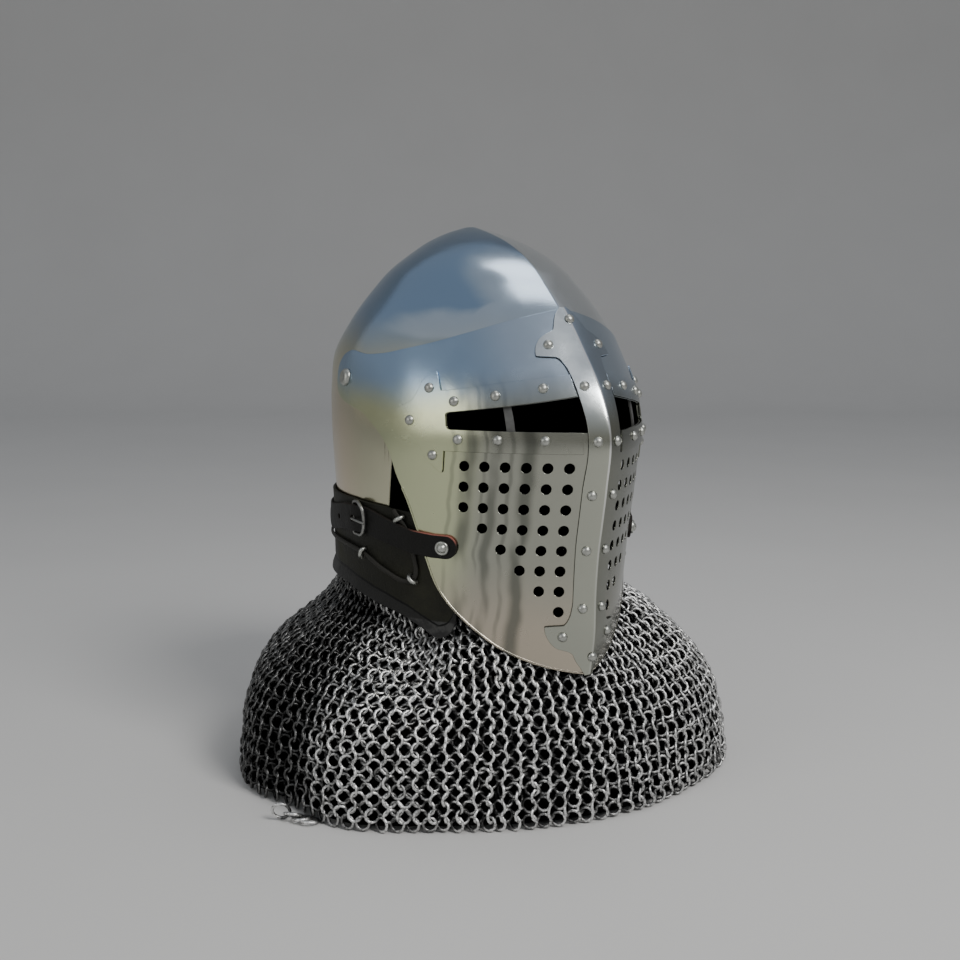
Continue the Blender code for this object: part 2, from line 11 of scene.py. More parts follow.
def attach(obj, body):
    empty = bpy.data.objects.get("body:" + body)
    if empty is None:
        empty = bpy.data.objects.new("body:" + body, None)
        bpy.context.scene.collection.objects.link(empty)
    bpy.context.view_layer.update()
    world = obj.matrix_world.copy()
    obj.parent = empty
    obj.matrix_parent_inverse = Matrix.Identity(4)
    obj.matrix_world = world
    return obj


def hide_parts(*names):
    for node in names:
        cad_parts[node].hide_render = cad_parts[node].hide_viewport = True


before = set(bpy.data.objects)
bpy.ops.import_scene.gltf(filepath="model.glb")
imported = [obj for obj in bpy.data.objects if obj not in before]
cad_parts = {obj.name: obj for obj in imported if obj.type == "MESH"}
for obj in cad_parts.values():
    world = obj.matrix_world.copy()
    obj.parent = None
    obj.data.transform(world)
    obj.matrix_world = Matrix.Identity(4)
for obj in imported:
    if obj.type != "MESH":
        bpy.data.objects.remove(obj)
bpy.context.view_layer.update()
MM = 0.001
SIDES = (("right", -1), ("left", 1))

# Camera: a 45 mm lens a little above the sights and 31 degrees to the wearer's right.
CAMERA_PLACE = (-0.501, -0.851, 0.364)
CAMERA_YAW, CAMERA_DIP = math.radians(31), math.radians(7.9)
back = Vector((-math.sin(CAMERA_YAW) * math.cos(CAMERA_DIP),
               -math.cos(CAMERA_YAW) * math.cos(CAMERA_DIP), math.sin(CAMERA_DIP)))
right = Vector((math.cos(CAMERA_YAW), -math.sin(CAMERA_YAW), 0))
lens = bpy.data.cameras.new("camera")
lens.lens, lens.sensor_width = 45, 36
camera = bpy.data.objects.new("camera", lens)
camera.matrix_world = Matrix.Translation(CAMERA_PLACE) @ \
    Matrix((right, right.cross(-back), back)).transposed().to_4x4()
bpy.context.scene.collection.objects.link(camera)
bpy.context.scene.camera = camera


class Flow:
    """A shader value. Python's operators on it add Math nodes, and node() adds any other."""

    def __init__(self, tree, socket=None):
        self.tree, self.socket = tree, socket

    def node(self, kind, settings=None, output=0, **inputs):
        made = self.tree.nodes.new("ShaderNode" + kind)
        for key, value in (settings or {}).items():
            if key == "stops":
                ramp = made.color_ramp
                while len(ramp.elements) < len(value):
                    ramp.elements.new(0.5)
                for element, (place, colour) in zip(ramp.elements, value):
                    element.position, element.color = place, (*colour, 1)
            else:
                setattr(made, key, value)
        for key, value in inputs.items():
            socket = made.inputs[int(key[1:]) if key[0] == "_" else key.replace("_", " ")]
            if isinstance(value, Flow):
                self.tree.links.new(value.socket, socket)
            else:
                socket.default_value = value
        return Flow(self.tree, made.outputs[output])

    def maths(self, operation, first, second=0.0):
        return self.node("Math", {"operation": operation}, _0=first, _1=second)

    def __add__(self, other):
        return self.maths("ADD", self, other)

    def __radd__(self, other):
        return self.maths("ADD", other, self)

    def __sub__(self, other):
        return self.maths("SUBTRACT", self, other)

    def __rsub__(self, other):
        return self.maths("SUBTRACT", other, self)

    def __mul__(self, other):
        return self.maths("MULTIPLY", self, other)

    def __rmul__(self, other):
        return self.maths("MULTIPLY", other, self)

    def __pow__(self, other):
        return self.maths("POWER", self, other)

    def step(self, start, end):
        """0 below start and 1 above end, smooth between."""
        return self.node("MapRange", {"interpolation_type": "SMOOTHSTEP"}, Value=self,
                         From_Min=start, From_Max=end)

    def mix(self, low, high):
        """A colour from low to high as this value goes from 0 to 1."""
        ends = [c if isinstance(c, Flow) else (*c, 1) for c in (low, high)]
        return self.node("Mix", {"data_type": "RGBA"}, output=2, _0=self, _6=ends[0], _7=ends[1])

    def away_from(self, value):
        return self.maths("ABSOLUTE", self - value)

    def noise(self, scale, detail=3.0, rough=0.5, warp=0.0):
        """Noise at this place."""
        return self.node("TexNoise", Vector=self, Scale=scale, Detail=detail, Roughness=rough,
                         Distortion=warp)

    def stretched(self, *share):
        """This place with each axis scaled, so that a pattern runs long where a share is small."""
        return self.node("Mapping", Vector=self, Scale=share)

    def parts(self):
        """The x, y and z of this place."""
        return [self.node("SeparateXYZ", output=i, Vector=self) for i in range(3)]

    def marked(self, name):
        return self.node("Attribute", {"attribute_name": name}, output=2)

    def bump(self, strength, distance):
        """Normals bent by this height."""
        return self.node("Bump", Strength=strength, Distance=distance, Height=self)


def finish_of(name, **constants):
    """A new material with a Principled shader, the place (m) in it and a way to set inputs."""
    made = bpy.data.materials.new(name)
    made.use_nodes = True
    shader = made.node_tree.nodes["Principled BSDF"]
    for key, value in constants.items():
        shader.inputs[key.replace("_", " ")].default_value = value

    def wire_up(**inputs):
        for key, value in inputs.items():
            made.node_tree.links.new(value.socket, shader.inputs[key.replace("_", " ")])
    return made, Flow(made.node_tree).node("TexCoord", output=3), wire_up


def plain(name, noise, dark, bright, rough=None, bump=None, **constants):
    """A material whose colour, and roughness where it is given, vary with one noise."""
    made, spot, wire_up = finish_of(name, **constants)
    cloud = spot.noise(*noise)
    wire_up(Base_Color=cloud.mix(dark, bright))
    if rough:
        wire_up(Roughness=rough[0] + cloud * rough[1])
    if bump:
        wire_up(Normal=cloud.bump(*bump))
    return made


# Floor: a plain pale sheet, matt, that the helm stands on. Far behind the helm it curves up
# into a wall.
FLOOR_HALF, FLOOR_NEAR, FLOOR_FAR, COVE_RADIUS, WALL_TOP = 7.0, -6.0, 3.4, 1.6, 6.0
cove = [(FLOOR_NEAR, 0.0), (FLOOR_FAR, 0.0)]
cove += [(FLOOR_FAR + COVE_RADIUS * math.sin(a), COVE_RADIUS * (1 - math.cos(a)))
         for a in np.linspace(0, math.pi / 2, 17)[1:]]
cove.append((FLOOR_FAR + COVE_RADIUS, WALL_TOP))
away = Vector((math.sin(CAMERA_YAW), math.cos(CAMERA_YAW), 0))
floor_mesh = bpy.data.meshes.new("floor")
floor_mesh.from_pydata([away * depth + right * side + Vector((0, 0, height))
                        for depth, height in cove for side in (-FLOOR_HALF, FLOOR_HALF)], [],
                       [(2 * i, 2 * i + 1, 2 * i + 3, 2 * i + 2) for i in range(len(cove) - 1)])
floor_mesh.polygons.foreach_set("use_smooth", [True] * len(floor_mesh.polygons))
floor = bpy.data.objects.new("floor", floor_mesh)
bpy.context.scene.collection.objects.link(floor)
floor_mesh.materials.append(
    plain("pale_floor", (3.0,), (0.60, 0.595, 0.585), (0.64, 0.635, 0.625), Roughness=0.75))

# Light, as the camera sees it: a soft lamp high at the front right, a small one overhead, a weak
# one at the left, and an even room that is a little cooler above.
LAMPS = (("key", (0.30, -1.70, 1.75), 0.8, 34, (1.0, 0.985, 0.96)),
         ("overhead", (0.22, 0.0, 1.40), 0.45, 1.6, (0.96, 0.98, 1.0)),
         ("side", (-1.9, -0.3, 0.8), 1.0, 5, (1.0, 0.99, 0.95)))
for name, place, size, power, colour in LAMPS:
    lamp_data = bpy.data.lights.new(name, "AREA")
    lamp_data.size, lamp_data.energy, lamp_data.color = size, power, colour
    lamp = bpy.data.objects.new(name, lamp_data)
    lamp.location = place
    lamp.rotation_euler = (Vector((0, 0, 0.22)) - Vector(place)).to_track_quat("-Z", "Y").to_euler()
    bpy.context.scene.collection.objects.link(lamp)
room = bpy.data.worlds.new("room")
room.use_nodes = True
sky = Flow(room.node_tree)
height = sky.node("TexCoord", output=0).parts()[2]
room.node_tree.links.new(height.step(0.0, 0.5).mix((0.27, 0.265, 0.25), (0.36, 0.375, 0.40)).socket,
                         room.node_tree.nodes["Background"].inputs["Color"])
bpy.context.scene.world = room

# Skull: one sheet of polished steel raised to a blunt point, with a soft crease over the mid
# line and a face opening. Its outer form is the visor's, and it lies just inside that.
FORM = (
    (100, 0.908, 0.887, 0.968, 0.42),
    (135, 0.941, 0.921, 0.976, 0.39),
    (167, 0.954, 0.926, 0.968, 0.36),
    (198, 0.966, 0.942, 0.956, 0.35),
    (217, 0.975, 0.960, 0.952, 0.35),
    (243, 0.992, 0.984, 0.968, 0.35),
    (284, 1.000, 1.000, 1.000, 0.34),
    (309, 0.987, 0.945, 0.992, 0.32),
    (337, 0.937, 0.834, 0.952, 0.28),
    (353, 0.878, 0.765, 0.848, 0.25),
    (370, 0.790, 0.686, 0.744, 0.22),
    (386, 0.685, 0.596, 0.632, 0.20),
    (401.5, 0.567, 0.499, 0.508, 0.18),
    (414, 0.430, 0.386, 0.371, 0.16),
    (424, 0.286, 0.257, 0.262, 0.14),
    (432, 0.122, 0.108, 0.106, 0.10),
    (435, 0.034, 0.042, 0.016, 0.10),
)    # level (mm), shares of the half width, front and back, and the keel's share
HELM_HALF, HELM_FRONT, HELM_BACK = 119.0, 189.5, 125.0
MIDDLE_SHARE = 0.53
CREASE = 0.005            # rounding of the keel, as a sine
SKULL_INSET, SKULL_WALL = 2.4, 1.8
SKULL_FOOT = ((0, 315), (28, 313), (41, 310), (52, 303), (60, 289), (67, 268), (70, 200),
              (71.5, 168), (180, 168))    # its lower edge by turn (degrees)


def through(x, y, slope, at):
    """A smooth curve through points with a slope at each."""
    i = np.clip(np.searchsorted(x, at) - 1, 0, len(x) - 2)
    span = x[i + 1] - x[i]
    t = (at - x[i]) / span
    return ((1 + 2 * t) * (1 - t) ** 2 * y[i] + t * (1 - t) ** 2 * span * slope[i]
            + t * t * (3 - 2 * t) * y[i + 1] + t * t * (t - 1) * span * slope[i + 1])


def smooth(table, column, at):
    """Reads a column of a table as a smooth curve through its rows."""
    rows = np.array(table, float)
    x, y = rows[:, 0], rows[:, column]
    return through(x, y, np.gradient(y, x), np.clip(np.asarray(at, float), x[0], x[-1]))


def straight(table, at):
    return np.interp(at, *np.array(table, float).T)


def ease(at, start, end):
    """A smooth step from 0 at start to 1 at end."""
    t = np.clip((np.asarray(at, float) - start) / (end - start), 0, 1)
    return t * t * (3 - 2 * t)


def form(turn, level):
    """Points of the outer form (mm): turn from the keel (radians), level (mm)."""
    turn, level = np.broadcast_arrays(np.asarray(turn, float), np.asarray(level, float))
    half, front, back_reach, keel = (smooth(FORM, c, level) * size for c, size in
                                     ((1, HELM_HALF), (2, HELM_FRONT), (3, HELM_BACK), (4, 1)))
    middle = -front + MIDDLE_SHARE * (front + back_reach)
    s, c = np.sin(turn), np.cos(turn)
    edge = np.hypot(s, CREASE) - CREASE
    y = np.where(c >= 0, -front + (middle + front) * (keel * edge + (1 - keel) * (1 - c)),
                 middle - (back_reach - middle) * c)
    return np.stack([half * s, y, level], -1)


def facing(turn, level):
    """Outward normals of the form."""
    across = form(np.add(turn, 0.003), level) - form(np.subtract(turn, 0.003), level)
    upward = form(turn, np.add(level, 0.4)) - form(turn, np.subtract(level, 0.4))
    normal = np.cross(across, upward)
    return normal / np.linalg.norm(normal, axis=-1, keepdims=True)


def skin(turn, level, out=0.0):
    """Points that stand out from the form by a distance (mm)."""
    return form(turn, level) + facing(turn, level) * np.asarray(out, float)[..., None]


def solid(name, points, faces, normals, finish):
    """A mesh object from points (mm), with its own shading normals, that rides on the helm."""
    mesh = bpy.data.meshes.new(name)
    mesh.from_pydata(np.asarray(points, float) * MM, [], faces)
    mesh.polygons.foreach_set("use_smooth", [True] * len(mesh.polygons))
    mesh.validate()
    if normals is not None:
        mesh.normals_split_custom_set_from_vertices(normals)
    made = bpy.data.objects.new(name, mesh)
    bpy.context.scene.collection.objects.link(made)
    for entry in finish if isinstance(finish, tuple) else (finish,):
        mesh.materials.append(entry)
    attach(made, "root")
    return made


def lattice(columns, rows, round_columns=True, round_rows=False):
    """Faces of a grid of points, numbered row by row in each column and closed round or not."""
    return [(i * rows + k, (i + 1) % columns * rows + k,
             (i + 1) % columns * rows + (k + 1) % rows, i * rows + (k + 1) % rows)
            for i in range(columns - (not round_columns)) for k in range(rows - (not round_rows))]


def flipped(faces, first=0):
    """The same faces seen from the other side, with first added to the numbers of their points."""
    return [(a + first, d + first, c + first, b + first) for a, b, c, d in faces]


def polished(name, rough, paint):
    """Polished steel with cloudy marks and fine wiping. paint gives its colour by place (m), with
    reflections painted into that colour.
    """
    made, spot, wire_up = finish_of(name, Metallic=1.0)
    drift = spot.noise(9.0, 3.0, 0.55, 0.6) - 0.5
    x, y, z = spot.parts()
    wiped = spot.stretched(0.35, 1, 1).noise(900.0, 2.0, 0.6)
    smear = spot.noise(26.0, 4.0, 0.6)
    wire_up(Base_Color=paint(spot, x, y, z + drift * 0.03),
            Roughness=rough + smear.step(0.35, 0.8) * 0.10 + wiped * 0.04,
            Normal=(wiped + smear * 2.0).bump(0.05, 0.0004))
    return made


def patch(x, z, at, reach):
    """1 in the middle of an oval on the front and 0 outside it."""
    square = ((x - at[0]) * (1 / reach[0])) ** 2.0 + ((z - at[1]) * (1 / reach[1])) ** 2.0
    return 1 - square.step(0.0, 1.0)


def skull_painted_reflections(spot, x, y, z):
    """Painted reflections: blue over the dome, olive and then tan low at the back, near white high
    on its left half, and a painted highlight left of the crease.
    """
    base = z.step(0.318, 0.372).mix((0.62, 0.60, 0.44), (0.28, 0.40, 0.56))
    base = ((1 - z.step(0.27, 0.335)) * y.step(-0.05, 0.01) * 0.8).mix(base, (0.80, 0.66, 0.48))
    base = (x.step(-0.001, 0.001) * z.step(0.34, 0.36) * 0.8).mix(base, (0.98, 1.0, 1.0))
    puffs = spot.stretched(1, 1, 2.2).noise(15.0, 6.0, 0.62, 0.9)
    near = (1 - x.step(-0.001, 0.001)) * (1 - y.step(-0.06, 0.0))
    # Painted highlight: a bright cloud left of the crease, where the lamp overhead is reflected.
    cloud = (patch(x, z, (-0.016, 0.382), (0.042, 0.042))
             + patch(x, z, (-0.05, 0.357), (0.062, 0.016)))
    cloud = (cloud * near * (puffs + 0.42)).step(0.08, 0.75)
    return (cloud * 0.6).mix(base, (0.66, 0.74, 0.80))


# Painted shade: the inner faces of the skull and the visor are near black, for the shade inside the
# helm.
inside_shade = plain("painted_shade_inside", (60.0,), (0.004, 0.004, 0.004), (0.012, 0.011, 0.010),
                   Roughness=0.85, Specular_IOR_Level=0.1)
skull_steel = polished("skull_steel", 0.15, skull_painted_reflections)
SKULL_COLUMNS, SKULL_ROWS, SKULL_TOP = 200, 70, 434.7
turns = np.concatenate([np.linspace(0, 8, 9)[:-1], np.linspace(8, 352, SKULL_COLUMNS),
                        np.linspace(352, 360, 9)[1:-1]])
feet = straight(SKULL_FOOT, np.minimum(turns, 360 - turns))
share = 1 - (1 - np.linspace(0, 1, SKULL_ROWS)) ** 1.25
levels = feet[:, None] + (SKULL_TOP - feet[:, None]) * share[None, :]
grid_turn = np.radians(turns)[:, None] + 0 * levels
columns, rows = levels.shape
outer = skin(grid_turn, levels, -SKULL_INSET).reshape(-1, 3)
inner = skin(grid_turn, levels, -SKULL_INSET - SKULL_WALL).reshape(-1, 3)
normals = facing(grid_turn, levels).reshape(-1, 3)
count = columns * rows
points = np.concatenate([outer, inner, [outer[rows - 1::rows].mean(0) + (0, 0, 0.25)],
                         [inner[rows - 1::rows].mean(0) + (0, 0, 0.25)]])
faces = lattice(columns, rows)
faces += flipped(faces, count)
for a in range(0, count, rows):
    b = (a + rows) % count
    faces += [(a, count + a, count + b, b), (a + rows - 1, b + rows - 1, 2 * count),
              (count + b + rows - 1, count + a + rows - 1, 2 * count + 1)]
skull = solid("skull_shell", points, faces,
              np.concatenate([normals, -normals, [(0, 0, 1)], [(0, 0, -1)]]),
              (skull_steel, inside_shade))
for polygon in skull.data.polygons:
    polygon.material_index = int(all(v >= count and v != 2 * count for v in polygon.vertices))
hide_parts("skull")

# Visor plate: a second sheet, folded along the keel, drilled with a field of breath holes on
# each side and cut for two sights. Its lower edge is rolled outward.
VISOR_WALL, EDGE_ROUND = 1.6, 0.35
VISOR_TOP = ((0, 368), (20, 360), (36, 351), (51, 342.5), (60, 338.5), (69, 335), (77, 334),
             (88, 336.5), (93, 334), (97, 327), (99, 319), (99.5, 313.5))
VISOR_BOTTOM = ((0, 105), (6, 106.5), (14, 110), (21.5, 115.5), (28.5, 123), (34, 131.5),
                (40.5, 143.5), (45.5, 155), (49.5, 168), (53, 187), (56.5, 208), (60.5, 231),
                (64.5, 249), (66.5, 261), (69.5, 272.5), (74.5, 283), (80.5, 291.5),
                (88, 295.5), (93, 298), (97, 302), (99, 308), (99.5, 313.5))
SIGHT = ((12.8, 282.5), (84.6, 283), (85.8, 285), (85.4, 293.5), (84, 294.7), (12.8, 307))
BREATH_PITCH, BREATH_HOLE, BREATH_FIRST_RUN, BREATH_TOP = 15.0, 7.4, 26.3, 257.3
BREATH_COLUMNS = (8, 7, 6, 5, 4, 3)
RUN_LEVEL = 250.0
TURNS = np.radians(np.linspace(-360, 360, 2881))
RING = form(TURNS, RUN_LEVEL)
RUNS = np.concatenate([[0], np.cumsum(np.linalg.norm(np.diff(RING, axis=0), axis=1))])
RUNS -= np.interp(0, TURNS, RUNS)
ROUND = np.interp(2 * math.pi, TURNS, RUNS)    # once round the form


def turn_at(run):
    """Turn (radians) of a distance along the form from the keel (mm)."""
    return np.interp(run, RUNS, TURNS)


def run_at(turn):
    return np.interp(turn, TURNS, RUNS)


def run_across(x, level):
    """Run of a point of the front half from its distance to the mid plane (mm)."""
    return run_at(np.arcsin(np.clip(x / (smooth(FORM, 1, level) * HELM_HALF), -1, 1)))


def flowing(table, at):
    """Reads an outline smoothly through its points without passing beyond them."""
    x, y = np.array(table, float).T
    slope = np.diff(y) / np.diff(x)
    mean = np.zeros(len(x))
    same = slope[:-1] * slope[1:] > 0
    mean[1:-1][same] = 2 * slope[:-1][same] * slope[1:][same] / (slope[:-1] + slope[1:])[same]
    mean[0], mean[-1] = slope[0], slope[-1]
    return through(x, y, mean, at)


def edge_line(turns, levels):
    """An edge laid flat: run and level (mm) at each turn (degrees)."""
    return np.stack([run_at(np.radians(turns)), levels], -1)


def resampled(loop, step):
    """A closed outline with a point at least every step."""
    made = []
    for a, b in zip(loop, np.roll(loop, -1, axis=0)):
        pieces = max(1, int(math.ceil(np.linalg.norm(b - a) / step)))
        made += [a + (b - a) * k / pieces for k in range(pieces)]
    return np.array(made)


def rounded(loop, radius, steps=4):
    """A closed outline with its corners cut to small arcs."""
    made = []
    for before, here, after in zip(np.roll(loop, 1, axis=0), loop, np.roll(loop, -1, axis=0)):
        a, b = before - here, after - here
        cut = min(radius, np.linalg.norm(a) / 3, np.linalg.norm(b) / 3)
        start, end = here + a / np.linalg.norm(a) * cut, here + b / np.linalg.norm(b) * cut
        for k in range(steps + 1):
            t = k / steps
            made.append(start * (1 - t) ** 2 + here * 2 * t * (1 - t) + end * t * t)
    return np.array(made)


def within(loop, points):
    """Which points lie inside a closed outline."""
    inside = np.zeros(len(points), bool)
    px, py = points[:, 0], points[:, 1]
    for (ax, ay), (bx, by) in zip(loop, np.roll(loop, -1, axis=0)):
        if ay != by:
            inside ^= ((ay > py) != (by > py)) & (px < (bx - ax) * (py - ay) / (by - ay) + ax)
    return inside


def on_sheet(outline, holes, points):
    """Which points lie inside the outline and outside every hole."""
    kept = within(outline, points)
    for loop in holes:
        kept &= ~within(loop, points)
    return kept


def clear_of(loop, points, gap):
    """Which points keep a gap to every point of an outline."""
    kept = np.ones(len(points), bool)
    for start in range(0, len(points), 4000):
        block = points[start:start + 4000]
        apart = ((block[:, None, :] - loop[None, :, :]) ** 2).sum(-1).min(1)
        kept[start:start + 4000] = apart > gap * gap
    return kept


def plate(name, outline, holes, lift, wall, spacing, finish, edge=EDGE_ROUND, fine_keel=False,
          mark=None):
    """A formed sheet with rounded edges, from outlines laid flat as run and level (mm).

    A tuple of finishes is for its face, its edges and its underside. mark gives each point a
    value by run and level, for the finish to read.
    """
    low, high = outline.min(0), outline.max(0)
    across = np.arange(low[0] + spacing / 2, high[0], spacing)
    if fine_keel:
        across = np.concatenate([across[abs(across) > 5], (-3.6, -2.0, -1.0, -0.4, 0.0, 0.4, 1.0,
                                                           2.0, 3.6)])
    flat = np.stack(np.meshgrid(across, np.arange(low[1] + spacing / 2, high[1], spacing)), -1)
    flat = flat.reshape(-1, 2)
    flat = flat[on_sheet(outline, holes, flat)]
    corners, edges = [], []
    for loop in (outline, *holes):
        flat = flat[clear_of(loop, flat, spacing * 0.45)]
        start = len(corners)
        corners += list(loop)
        edges += [(start + k, start + (k + 1) % len(loop)) for k in range(len(loop))]
    corners += list(flat)
    found = delaunay_2d_cdt([Vector(p) for p in corners], edges, [], 0, 1e-6, False)
    spots = np.array([tuple(p) for p in found[0]])
    triangles = np.array([f for f in found[2] if len(f) == 3])
    triangles = triangles[on_sheet(outline, holes, spots[triangles].mean(1))]
    a, b, c = (spots[triangles[:, k]] for k in range(3))
    area = (b[:, 0] - a[:, 0]) * (c[:, 1] - a[:, 1]) - (b[:, 1] - a[:, 1]) * (c[:, 0] - a[:, 0])
    triangles[area < 0] = triangles[area < 0][:, ::-1]
    triangles = triangles[abs(area) > 1e-7]
    ways = {(int(t[k]), int(t[(k + 1) % 3])) for t in triangles for k in range(3)}
    rim = [(p, q) for p, q in ways if (q, p) not in ways]
    outward = np.zeros((len(spots), 2))
    for p, q in rim:
        way = spots[q] - spots[p]
        side = np.array((way[1], -way[0])) / np.linalg.norm(way)
        outward[p] += side
        outward[q] += side
    length = np.linalg.norm(outward, axis=1, keepdims=True)
    outward = outward / np.where(length > 0, length, 1)
    at_rim = np.flatnonzero(length[:, 0] > 0)
    turn, level = turn_at(spots[:, 0]), spots[:, 1]
    rise = np.asarray(lift(spots[:, 0], level), float) * np.ones(len(spots))
    normal = facing(turn, level)
    top, under = skin(turn, level, rise), skin(turn, level, rise - wall)
    beyond = spots[at_rim] + outward[at_rim] * edge
    beyond_turn, rim_rise = turn_at(beyond[:, 0]), rise[at_rim]
    upper = skin(beyond_turn, beyond[:, 1], rim_rise - edge)
    lower = skin(beyond_turn, beyond[:, 1], rim_rise - wall + edge)
    side = skin(beyond_turn, beyond[:, 1], rim_rise) - top[at_rim]
    side /= np.linalg.norm(side, axis=1, keepdims=True)
    total = len(spots)
    place = {int(v): k for k, v in enumerate(at_rim)}
    faces = [tuple(map(int, t)) for t in triangles]
    faces += [(int(t[2]) + total, int(t[1]) + total, int(t[0]) + total) for t in triangles]
    first, second = 2 * total, 2 * total + len(at_rim)
    rim_start = len(faces)
    for p, q in rim:
        i, j = place[p], place[q]
        faces += [(q, p, first + i, first + j), (first + j, first + i, second + i, second + j),
                  (second + j, second + i, total + p, total + q)]
    made = solid(name, np.concatenate([top, under, upper, lower]), faces,
                 np.concatenate([normal, -normal, side, side]), finish)
    if isinstance(finish, tuple):
        for i, polygon in enumerate(made.data.polygons):
            polygon.material_index = 1 if i >= rim_start else 2 * int(i >= rim_start // 2)
    if mark:
        laid = np.concatenate([spots, spots, beyond, beyond])
        made.data.attributes.new("mark", "FLOAT", "POINT").data.foreach_set(
            "value", mark(laid[:, 0], laid[:, 1]))
    return made


def circle(run, level, radius, sides):
    """The flat outline of a round hole, allowing for how the form stretches there."""
    turn = turn_at(np.array([run - 1, run + 1, run, run]))
    ends = form(turn, np.array([level, level, level - 1, level + 1]))
    wide = np.linalg.norm(ends[1] - ends[0]) / 2
    tall = np.linalg.norm(ends[3] - ends[2]) / 2
    a = np.arange(sides) * 2 * math.pi / sides
    return np.stack([run + radius / wide * np.cos(a), level + radius / tall * np.sin(a)], -1)


def sight_loop(s, grow=EDGE_ROUND):
    """The flat outline of one sight, s being its side."""
    corners = np.array(SIGHT, float)
    centre = corners.mean(0)
    corners += np.sign(corners - centre) * grow
    loop = resampled(rounded(corners, 1.6), 2.5)
    flat = np.stack([run_across(s * loop[:, 0], loop[:, 1]), loop[:, 1]], -1)
    return flat if s > 0 else flat[::-1]


# Painted dark reflections that run down the right side of the face: distance from the mid plane,
# half width (m), strength.
DARK_REFLECTION_RUNS = ((0.0470, 0.0042, 0.75), (0.0560, 0.0012, 0.45), (0.0640, 0.0026, 0.65),
             (0.0690, 0.0009, 0.5), (0.0765, 0.0034, 0.7), (0.0840, 0.0010, 0.35))


def visor_painted_reflections(spot, x, y, z):
    """Painted reflections: blue on the brow, grey on the face with dark runs, olive on the cheek,
    tan low on the chin, and dull at the left.
    """
    lower = ((x * -1.0).step(0.064, 0.088)).mix((0.38, 0.385, 0.33), (0.60, 0.63, 0.41))
    lower = (1 - z.step(0.125, 0.20)).mix(lower, (0.53, 0.47, 0.38))
    drift = spot.stretched(0.1, 0.1, 1).noise(22.0, 2.0, 0.5) - 0.5
    fade = spot.stretched(1, 1, 0.3).noise(60.0, 2.0, 0.5).step(0.30, 0.55)
    for at, half, strength in DARK_REFLECTION_RUNS:
        off = (x * -1.0 + drift * 0.012).away_from(at)
        lower = ((1 - off.step(half * 0.25, half * 1.5)) * fade * strength).mix(
            lower, (0.12, 0.125, 0.105))
    lower = (x.step(0.004, 0.014) * 0.8).mix(lower, (0.17, 0.175, 0.145))
    upper = ((x * -1.0).step(0.03, 0.075)).mix((0.52, 0.62, 0.74), (0.33, 0.45, 0.60))
    return z.step(0.292, 0.325).mix(lower, upper)


visor_steel = polished("visor_steel", 0.18, visor_painted_reflections)
visor_turns = np.linspace(-99.5, 99.5, 320)
bottom = edge_line(visor_turns, flowing(VISOR_BOTTOM, abs(visor_turns)))
top = edge_line(visor_turns, flowing(VISOR_TOP, abs(visor_turns)))
outline = np.concatenate([bottom, top[-2:0:-1]])
breath = [circle(s * (BREATH_FIRST_RUN + i * BREATH_PITCH), BREATH_TOP - j * BREATH_PITCH,
                 BREATH_HOLE / 2 + EDGE_ROUND, 22)
          for _, s in SIDES for i, rows in enumerate(BREATH_COLUMNS) for j in range(rows)]
sights = {s: sight_loop(s) for _, s in SIDES}
visor = plate("visor", outline, breath + list(sights.values()), lambda run, level: 0.0,
              VISOR_WALL, 4.5, (visor_steel, visor_steel, inside_shade), fine_keel=True)
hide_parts("visor_plate")


def tube(name, points, radius, sides, finish, closed=False, out=None, flat=1.0):
    """A wire through points (mm), domed where it is open. Given out ways, it is flattened there."""
    line = np.asarray(points, float)
    if closed:
        way = np.roll(line, -1, axis=0) - np.roll(line, 1, axis=0)
    else:
        way = np.gradient(line, axis=0)
    way /= np.linalg.norm(way, axis=1, keepdims=True)
    side = np.cross(way[0], (0.3, 0.2, 0.93))
    corners, normals = [], []
    angles = np.arange(sides) * 2 * math.pi / sides
    for i, (here, along) in enumerate(zip(line, way)):
        side = side if out is None else out[i]
        side = side - along * side.dot(along)
        side /= np.linalg.norm(side)
        other = np.cross(along, side)
        corners.append(here + radius * (flat * np.cos(angles)[:, None] * side
                                        + np.sin(angles)[:, None] * other))
        normals.append(np.cos(angles)[:, None] * side + flat * np.sin(angles)[:, None] * other)
    corners, normals = np.concatenate(corners), np.concatenate(normals)
    faces = flipped(lattice(len(line), sides, closed, True))
    if not closed:
        end = len(corners)
        corners = np.concatenate([corners, [line[0] - way[0] * radius * 0.6],
                                  [line[-1] + way[-1] * radius * 0.6]])
        normals = np.concatenate([normals, [-way[0]], [way[-1]]])
        last = (len(line) - 1) * sides
        faces += [((k + 1) % sides, k, end) for k in range(sides)]
        faces += [(last + k, last + (k + 1) % sides, end + 1) for k in range(sides)]
    return solid(name, corners, faces, normals, finish)


# Painted shade: a near black finish for thin lines that stand for the shadow where an edge stands
# over the sheet below it.
seam_shade = plain("seam_shade", (400.0,), (0.006, 0.006, 0.005), (0.03, 0.028, 0.024), Roughness=0.9,
              Specular_IOR_Level=0.1)


def shade_line(name, loop, radius=0.42, lift=0.25, closed=True):
    """A thin dark line of painted shade in the corner where an edge meets the sheet below it."""
    line = resampled(loop, 1.6) if closed else loop
    seam = tube(name, skin(turn_at(line[:, 0]), line[:, 1], lift), radius, 6, seam_shade, closed=closed)


ROLL_RADIUS = 1.15
roll_turns = np.linspace(-62, 62, 240)
roll_line = skin(np.radians(roll_turns), flowing(VISOR_BOTTOM, abs(roll_turns)) + 0.3, -0.55)
roll = tube("visor_rolled_edge", roll_line, ROLL_RADIUS, 8, visor_steel)
shade_line("visor_top_seam", top[4:-4], lift=-SKULL_INSET + 0.5, closed=False)

